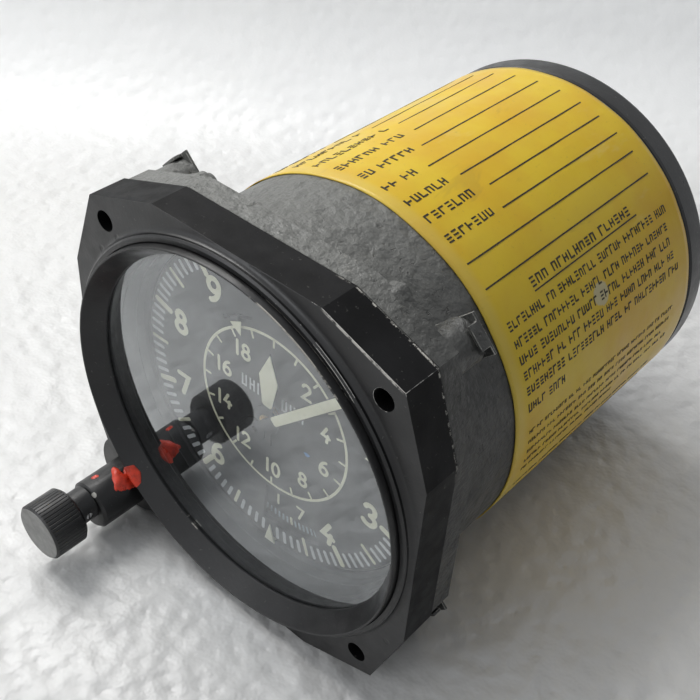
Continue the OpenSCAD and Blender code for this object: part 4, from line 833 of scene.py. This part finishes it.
class ALTIMETER_OT_scale(bpy.types.Operator):
    """Marks of the pressure scale behind the window"""

    bl_idname = "altimeter.scale"
    bl_label = "Pressure scale"

    def execute(self, context):
        face = 12.0
        y0, y1 = face - 0.05, face + SINK
        first = math.radians(171.8)
        base = dict(Front=y1 * MM, Rise=(y1 - y0) * MM, Outer_radius=30.1 * MM, Start_angle=first)
        round_marks("pressure_marks", "mark_blue", "movement", "pointer_cream", Count=160,
                    Leave_out_every=10, Inner_radius=28.3 * MM, Width=0.5 * MM, **base)
        round_marks("pressure_tens", "pointer_cream", "movement", "pointer_cream", Count=16,
                    Inner_radius=27.9 * MM, Width=0.7 * MM, **base)
        # Each number is laid at the window and then turned to its place, so that it reads upright there
        bm = bmesh.new()
        at = clock(167.64, 25.2, 0) / MM
        count, middle, step = 8, 71, 2
        for k in range(count):
            done = len(bm.verts)
            value = middle + step * (k if k < count / 2 else k - count)
            number(bm, str(value)[::-1], at.x, at.z, 3.4, 0.6, y0, y1, 1.8)
            bm.verts.ensure_lookup_table()
            turn = Matrix.Rotation(math.radians(45 * k), 3, "Y")
            bmesh.ops.rotate(bm, cent=(0, 0, 0), matrix=turn, verts=bm.verts[done:])
        finish_piece("pressure_numbers", mesh_from(bm, "pressure_numbers"), ("pointer_cream",), "movement")
        return {"FINISHED"}


class ALTIMETER_OT_pointers(bpy.types.Operator):
    """Pointers: black blades with luminous paint laid on"""

    bl_idname = "altimeter.pointers"
    bl_label = "Pointers"

    def execute(self, context):
        long_angle, km_angle, short_angle = 45.0, 333.0, 2.25
        boss_end = 2.3
        along = clock(long_angle, 1.0, 0.0) / MM
        dressed("long_pointer", "long_hand", ("dial_black",), 0.06, 1,
                keep=(along * -boss_end * MM, along))
        dressed("short_pointer", "short_hand", ("dial_black",), 0.06, 1)
        # Shutter behind the kilometre index, so that its slot shows dark
        bm = bmesh.new()
        shutter_r, half_arc = 21.3, 20
        left = 90 + 360 - int(km_angle)
        arc = bow(0, 0, shutter_r, shutter_r, left - half_arc, left + half_arc, 24)
        stroke(bm, arc, 2.2, 11.03, 11.17)
        finish_piece("km_shutter", mesh_from(bm, "km_shutter"), ("dial_black",), "km_index")
        # Paint on a blade: body, clock angle, the blade's front face and the outline with the tip upwards
        for name, body, angle, y, outline in (
            ("long_hand_paint", "pointer", long_angle, 5.2,
             [(-1.15, 7.3), (-0.85, 6.9), (0.6, 6.9), (0.9, 7.3), (1.0, 30.9), (0.0, 31.8), (-1.1, 30.9)]),
            ("km_index_paint", "km_index", km_angle, 9.5,
             [(-1.5, 20.4), (-1.6, 20.2), (0.0, 17.4), (1.6, 20.2), (1.5, 20.4)]),
            ("short_hand_paint", "short_pointer", short_angle, 8.2,
             [(-0.7, 3.9), (1.1, 3.9), (1.5, 4.4), (1.65, 5.6), (2.6, 11.0), (0.25, 16.95), (-2.2, 11.0),
              (-1.25, 5.6), (-1.1, 4.4)]),
        ):
            bm = bmesh.new()
            t = math.radians(angle)
            turned = [(x * math.cos(t) + z * math.sin(t), z * math.cos(t) - x * math.sin(t))
                      for x, z in outline]
            prism(bm, turned, y - 0.12, y + SINK)
            obj = finish_piece(name, mesh_from(bm, name), ("pointer_cream",), body)
            ease = obj.modifiers.new("Eased edges", "BEVEL")
            ease.width = 0.05 * MM
            ease.segments = 2
        return {"FINISHED"}


def seal_on_sleeve(bm):
    """A skin of paint on the sleeve, thick inside its outline and sunk out of sight past it."""
    cx, cz, r = -32.9, -34.7, 5.5
    # Outline of the paint, as places along the sleeve and clock angles round it
    outline = ((-4.1, -7.0), (-3.6, -6.5), (-3.3, 10.0), (-3.3, 20.0), (-2.9, 20.0), (-2.2, 12.0),
               (-1.0, 10.0), (-0.15, 15.0), (-0.15, 50.0), (-2.0, 58.0), (-4.2, 54.0), (-5.6, 48.0),
               (-6.7, 41.0), (-6.1, 25.0), (-5.1, 7.5))
    edge = [Vector((y, math.radians(a) * r)) for y, a in outline]
    rows, cols = 96, 90
    y_lo, y_hi, a_lo, a_hi = -9.6, 0.0, -32.0, 66.0
    fleck_y, fleck_a, fleck_r = -8.05, -17.0, 0.55
    blob_y, blob_a, blob_r, blob_rise = -4.2, 20.0, 2.2, 0.32
    skin, brim, sunk = 0.26, 0.9, -0.12

    def depth(q):
        """Distance inside the outline, negative outside."""
        inside, near = False, 9.0
        for i, p in enumerate(edge):
            o = edge[i - 1]
            if (p.y > q.y) != (o.y > q.y) and q.x < (o.x - p.x) * (q.y - p.y) / (o.y - p.y) + p.x:
                inside = not inside
            k = max(0.0, min(1.0, (q - p).dot(o - p) / (o - p).length_squared))
            near = min(near, (p + (o - p) * k - q).length)
        return near if inside else -near

    def rise(y, a):
        """How far the paint stands off the sleeve at a place along it and a clock angle."""
        q = Vector((y, math.radians(a) * r))
        fleck = fleck_r - math.hypot((y - fleck_y) / 1.5, q.y - math.radians(fleck_a) * r)
        d = max(depth(q), fleck) + 0.12 * math.sin(4.1 * y + 0.2 * a) * math.cos(2.3 * y - 0.17 * a)
        if d <= 0:
            return max(sunk, 0.5 * d)
        over = math.hypot(y - blob_y, q.y - math.radians(blob_a) * r)
        blob = blob_rise * max(0.0, 1 - (over / blob_r) ** 4) * min(1.0, d / 0.4)
        return skin * math.sqrt(min(d, brim) / brim) + blob

    def shows(quad):
        """Whether any corner stands clear of the sleeve."""
        return max(math.hypot(v.co.x / MM - cx, v.co.z / MM - cz) for v in quad) > r - 0.04

    grid = []
    for i in range(rows + 1):
        y = y_lo + (y_hi - y_lo) * i / rows
        line = []
        for j in range(cols + 1):
            a = a_lo + (a_hi - a_lo) * j / cols
            ang = math.radians(a)
            reach = r + rise(y, a)
            x, z = cx + reach * math.sin(ang), cz + reach * math.cos(ang)
            line.append(bm.verts.new((x * MM, y * MM, z * MM)))
        grid.append(line)
    sheet(bm, grid, True, shows)


def seal_on_ring(bm):
    """A lap of paint over the retaining ring's outer corner and down its inner slope."""
    # Inner end of the lap along the axis at each clock angle
    laps = ((221.3, -3.1), (221.8, -2.2), (223.0, -1.75), (224.6, -1.3), (226.2, -1.45), (227.8, -1.7),
            (228.4, -3.0))
    side_r, corner_r, edge_r, edge_y = 40.85, 40.72, 40.35, -3.25
    fall, off_r, off_y = 0.679, 0.83, 0.56
    steps, parts = 28, 8
    lines = []
    for i in range(steps + 1):
        a = laps[0][0] + (laps[-1][0] - laps[0][0]) * i / steps
        k = next(k for k in range(len(laps) - 1) if a <= laps[k + 1][0] + 1e-6)
        share = (a - laps[k][0]) / (laps[k + 1][0] - laps[k][0])
        end = laps[k][1] + (laps[k + 1][1] - laps[k][1]) * share
        thick = 0.22 * math.sqrt(min(1.0, 5.0 * min(i, steps - i) / steps))
        across = [(side_r + thick, -2.1), (side_r + thick, -2.8),
                  (corner_r + thick * 0.7, -3.27 - thick * 0.7), (edge_r, edge_y - thick)]
        for j in range(1, parts + 1):
            y = edge_y + (end - edge_y) * j / parts
            w = thick * math.sqrt(1.02 - j / parts)
            across.append((edge_r - fall * (y - edge_y) - off_r * w, y - off_y * w))
        lines.append([bm.verts.new(clock(a, radius, y)) for radius, y in across])
    sheet(bm, lines, True)


class ALTIMETER_OT_knob(bpy.types.Operator):
    """Setting knob, sleeve and the seal of red paint"""

    bl_idname = "altimeter.knob"
    bl_label = "Knob and seal"

    def execute(self, context):
        dressed("knob", "setting_knob", ("knob_paint", "brass_edge"), 0.1, 2)
        dressed("setting_sleeve", "sleeve", ("sleeve_paint", "worn_edge"), 0.12, 2)
        bm = bmesh.new()
        seal_on_sleeve(bm)
        seal_on_ring(bm)
        loose = [v for v in bm.verts if not v.link_faces]
        bmesh.ops.delete(bm, geom=loose, context="VERTS")
        obj = finish_piece("paint_seal", mesh_from(bm, "paint_seal"), ("seal_red",), "case")
        thicken(obj, 0.15)
        return {"FINISHED"}


def tag_sheet(s):
    """The paper's outer face, with edges and a surface that wave a little."""
    along, around = 60, 150
    bm = bmesh.new()
    grid = []
    for i in range(along + 1):
        u = i / along
        line = []
        for j in range(around + 1):
            v = j / around
            a = s.start + (s.end - s.start) * v
            y = s.front + (s.rear - s.front) * u
            y += 0.12 * math.sin(0.19 * a + 1.0) * (1 - u) + 0.08 * math.sin(0.31 * a) * u
            lift = 0.03 * (1 + math.sin(0.21 * a + 0.4 * y) * math.sin(0.13 * y - 0.3 * a))
            line.append(bm.verts.new(clock(a, s.radius + lift, y)))
        grid.append(line)
    sheet(bm, grid)
    return mesh_from(bm, "paper_tag")


class ALTIMETER_OT_tag(bpy.types.Operator):
    """Paper tag under clear tape, with ruled lines and rows of plain bars"""

    bl_idname = "altimeter.tag"
    bl_label = "Tag"

    def execute(self, context):
        s = context.scene.altimeter_tag
        rng = random.Random(s.seed)
        obj = finish_piece("paper_tag", tag_sheet(s), ("yellow_paper",), "case",
                           ("tag_label",))
        thicken(obj, s.thickness)

        bm = bmesh.new()
        r0, r1 = s.radius + 0.02, s.radius + 0.085
        turn = math.degrees(1 / s.radius)

        def patch(y0, y1, a, high):
            """A printed bar along the case from y0 to y1, its middle at clock angle a."""
            half = math.degrees(high / 2 / s.radius)
            steps = max(1, int(abs(y1 - y0) / 6))
            parts = 2 if high > 1 else 1
            rows = []
            for i in range(steps + 1):
                y = y0 + (y1 - y0) * i / steps
                rows.append([[bm.verts.new(clock(a - half + 2 * half * k / parts, r, y)) for r in (r0, r1)]
                             for k in range(parts + 1)])
            for i in range(steps):
                for k in range(parts):
                    p, q = rows[i], rows[i + 1]
                    bm.faces.new((p[k][1], p[k + 1][1], q[k + 1][1], q[k][1]))
                    bm.faces.new((p[k][0], q[k][0], q[k + 1][0], p[k + 1][0]))
                bm.faces.new((rows[i][0][0], rows[i][0][1], rows[i + 1][0][1], rows[i + 1][0][0]))
                bm.faces.new((rows[i][-1][1], rows[i][-1][0], rows[i + 1][-1][0], rows[i + 1][-1][1]))
            for row, flip in ((rows[0], False), (rows[-1], True)):
                for k in range(parts):
                    f = (row[k][0], row[k + 1][0], row[k + 1][1], row[k][1])
                    bm.faces.new(tuple(reversed(f)) if flip else f)

        def words(y0, y1, a, high, letter):
            """A row of bars in word-like lengths, cut into narrow blocks."""
            y = y0
            while y < y1 - letter:
                for _ in range(rng.randint(2, 9)):
                    if y + letter * 0.8 > y1:
                        break
                    tall = high * rng.uniform(0.8, 1.0)
                    kind = rng.random()
                    if kind < 0.45:
                        cross = a + rng.choice((-1, 0, 1)) * tall * 0.42 * turn
                        patch(y, y + letter * 0.2, a, tall)
                        patch(y + letter * 0.2, y + letter * 0.74, cross, 0.2 * high)
                    elif kind < 0.75:
                        cross = a + rng.choice((-1, 0, 1)) * tall * 0.4 * turn
                        patch(y, y + letter * 0.2, a, tall)
                        patch(y + letter * 0.55, y + letter * 0.75, a, tall * 0.92)
                        patch(y + letter * 0.2, y + letter * 0.55, cross, 0.18 * high)
                    else:
                        for k in (-1, 0, 1):
                            level = a + k * tall * 0.42 * turn
                            patch(y + letter * 0.06, y + letter * 0.7, level, 0.18 * high)
                    y += letter
                y += letter * 0.7

        # Ruled lines, as clock angle and start along the case, with a label before each long enough one
        ruled = ((-45, 52), (-37, 52), (-29, 58), (-21, 60), (-12.8, 58), (-4.6, 53), (3.4, 48), (11, 51),
                 (18, 54), (25.3, 52), (32.4, 35.8), (40.2, 36))
        for a, y in ruled:
            patch(y, 92.4, a, 0.32)
            if y > 40:
                words(35.8, y - 1.5, a - 0.9, 1.95, 2.0)
        # An underlined heading, then rows in a middle and a small size, as clock angle and end
        words(46.6, 82.4, 45.6, 2.0, 1.9)
        patch(46.7, 82.7, 48.0, 0.3)
        for a, y in ((51.6, 92.6), (56.5, 92.3), (61.0, 92.0), (65.5, 92.2), (70.0, 92.6), (75.0, 51.0)):
            words(36.5, y, a, 1.85, 1.42)
        for a, y in ((83.0, 91.0), (86.5, 90.0), (90.0, 88.0), (93.5, 91.0), (97.0, 70.0), (104.0, 90.0),
                     (112.0, 90.0)):
            words(36.8, y, a, 0.85, 0.95)
        print_mesh = mesh_from(bm, "tag_print", recalc=False)
        finish_piece("tag_print", print_mesh, ("tag_ink",), "case")
        return {"FINISHED"}


def floor_paper(ahead):
    """White paper with soft wrinkles, paler where it rises behind the object."""
    f = Finish("floor_paper", Specular_IOR_Level=0.5)
    back = f.level(f.measure("DOT_PRODUCT", f.place, ahead), 0.13, 0.22)
    f.set("Base_Color", f.mix(f.level(f.noise(9, 3), 0.3, 0.7), (0.76, 0.76, 0.755), (0.81, 0.81, 0.80)))
    f.set("Roughness", f.level(f.noise(60, 3), 0.3, 0.7, 0.32, 0.5))
    wrinkles = f.plus(f.noise(80, 4, 0.6), f.times(f.cells(240), 0.7))
    f.set("Normal", f.bump(f.times(wrinkles, f.level(back, 0.0, 1.0, 1.0, 0.25)), 0.6, 2.0))
    # The backdrop shows paler to the eye, to mirrors and through glass, and lights nothing
    f.set("Emission_Color", (0.95, 0.98, 1.0))
    f.set("Emission_Strength", f.times(f.seen(), f.level(back, 0.0, 1.0, 0.0, 0.27)))
    # The sheet has one side, so that the case can be seen from behind it
    f.show_through(f.node("ShaderNodeNewGeometry").outputs["Backfacing"], clear_second=True)
    return f.mat


def sweep(up, ahead):
    """One sheet of paper, in metres: the floor, a bend and a leaning backdrop."""
    origin = Vector((0.0, 0.0, -0.0431))
    right = ahead.cross(up)
    near_end, fold, bend, slope, backdrop = -0.75, 0.16, 0.06, math.radians(62), 0.9
    rows, cols = 60, 40
    bm = bmesh.new()
    grid = []
    for i in range(rows + 1):
        k = i / rows
        if k < 0.5:
            t, h = near_end + (fold - near_end) * k / 0.5, 0.0
        elif k < 0.8:
            g = (k - 0.5) / 0.3 * slope
            t, h = fold + bend * math.sin(g), bend * (1 - math.cos(g))
        else:
            w = (k - 0.8) / 0.2 * backdrop
            t = fold + bend * math.sin(slope) + w * math.cos(slope)
            h = bend * (1 - math.cos(slope)) + w * math.sin(slope)
        grid.append([bm.verts.new(origin + ahead * t + up * h + right * (-1.0 + 2.0 * j / cols))
                     for j in range(cols + 1)])
    sheet(bm, grid)
    return mesh_from(bm, "floor", recalc=False)


def lamp(name, at, target, size, power, colour):
    """A soft lamp, in metres and watts, turned towards its target."""
    data = bpy.data.lights.new(name, "AREA")
    data.shape = "RECTANGLE"
    data.size, data.size_y = size
    data.energy = power
    data.color = colour
    obj = bpy.data.objects.new(name, data)
    obj.location = at
    obj.rotation_euler = (Vector(target) - Vector(at)).to_track_quat("-Z", "Y").to_euler()
    bpy.context.scene.collection.objects.link(obj)
    return obj


def studio():
    """A room that is light on the left and above, and dim on the right."""
    world = bpy.data.worlds.new("studio")
    world.use_nodes = True
    w = Nodes(world.node_tree)
    place = w.node("ShaderNodeTexCoord").outputs["Generated"]
    toward = w.measure("DOT_PRODUCT", place, (-0.32, 0.0, 0.95))
    dim = w.level(toward, 0.3, 1.0, 0.03, 0.62, "LINEAR")
    # The eye, mirrors and glass meet a pale wall beyond the sheet, paler on the left
    pale = w.level(toward, -0.5, 0.4, 0.45, 0.92, "LINEAR")
    sky = w.tree.nodes["Background"]
    sky.inputs["Color"].default_value = (0.95, 0.97, 1.0, 1.0)
    w.feed(sky.inputs["Strength"], w.make("ShaderNodeMix", {0: w.seen(), 2: dim, 3: pale}))
    return world


def photo_camera():
    """Camera at the photograph's viewing angle: its right, up and backward directions, and its place."""
    cam = bpy.data.objects.new("camera", bpy.data.cameras.new("camera"))
    cam.data.sensor_width = 36.0
    cam.data.lens = 56.64
    cam.data.clip_start = 0.005
    side = (0.74659, 0.66259, 0.05983)
    rise = (-0.46652, 0.45730, 0.75712)
    rear = (0.47430, -0.59317, 0.65053)
    spot = (0.104527, -0.098700, 0.146641)
    cam.matrix_world = Matrix([*zip(side, rise, rear, spot), (0, 0, 0, 1)])
    return cam


class ALTIMETER_OT_stage(bpy.types.Operator):
    """Pale paper floor, soft lamps and the camera"""

    bl_idname = "altimeter.stage"
    bl_label = "Stage"

    def execute(self, context):
        scene = context.scene
        scene.view_settings.view_transform = "Standard"
        up = Vector((0.0, -0.0268, 1.0)).normalized()
        ahead = Vector((-0.62, 0.78, 0.0))
        ahead = (ahead - up * ahead.dot(up)).normalized()
        paper = floor_paper(ahead)
        floor = bpy.data.objects.new("floor", sweep(up, ahead))
        floor.data.materials.append(paper)
        scene.collection.objects.link(floor)
        key = lamp("key_lamp", (-0.48, 0.12, 0.50), (0.0, 0.04, 0.0), (0.45, 0.45), 4.7, (1.0, 0.99, 0.97))
        fill = lamp("fill_lamp", (-0.35, -0.75, 0.35), (0.0, 0.03, 0.0), (0.6, 0.5), 2.2, (0.96, 0.98, 1.0))
        scene.world = studio()
        cam = photo_camera()
        scene.collection.objects.link(cam)
        scene.camera = cam
        return {"FINISHED"}


class ALTIMETER_PT_panel(bpy.types.Panel):
    """Lists the altimeter's steps in the sidebar"""

    bl_idname = "ALTIMETER_PT_panel"
    bl_label = "Altimeter"
    bl_space_type = "VIEW_3D"
    bl_region_type = "UI"
    bl_category = "Altimeter"

    def draw(self, context):
        for op in OPERATORS:
            self.layout.operator(op.bl_idname)
        for group in ("altimeter_dial", "altimeter_tag", "altimeter_colours"):
            owner = getattr(context.scene, group)
            for key in owner.__annotations__:
                self.layout.prop(owner, key)


OPERATORS = (
    ALTIMETER_OT_finishes, ALTIMETER_OT_front, ALTIMETER_OT_case, ALTIMETER_OT_dial, ALTIMETER_OT_scale,
    ALTIMETER_OT_pointers, ALTIMETER_OT_knob, ALTIMETER_OT_tag, ALTIMETER_OT_stage,
)
CLASSES = (DialSizes, TagSizes, FinishColours, *OPERATORS, ALTIMETER_PT_panel)


def register():
    for c in CLASSES:
        bpy.utils.register_class(c)
    bpy.types.Scene.altimeter_dial = bpy.props.PointerProperty(type=DialSizes)
    bpy.types.Scene.altimeter_tag = bpy.props.PointerProperty(type=TagSizes)
    bpy.types.Scene.altimeter_colours = bpy.props.PointerProperty(type=FinishColours)


def unregister():
    del bpy.types.Scene.altimeter_colours
    del bpy.types.Scene.altimeter_tag
    del bpy.types.Scene.altimeter_dial
    for c in reversed(CLASSES):
        bpy.utils.unregister_class(c)


def main():
    register()
    bpy.ops.altimeter.finishes()
    bpy.ops.altimeter.front()
    bpy.ops.altimeter.case()
    bpy.ops.altimeter.dial()
    bpy.ops.altimeter.scale()
    bpy.ops.altimeter.pointers()
    bpy.ops.altimeter.knob()
    bpy.ops.altimeter.tag()
    bpy.ops.altimeter.stage()


if __name__ == "__main__":
    main()
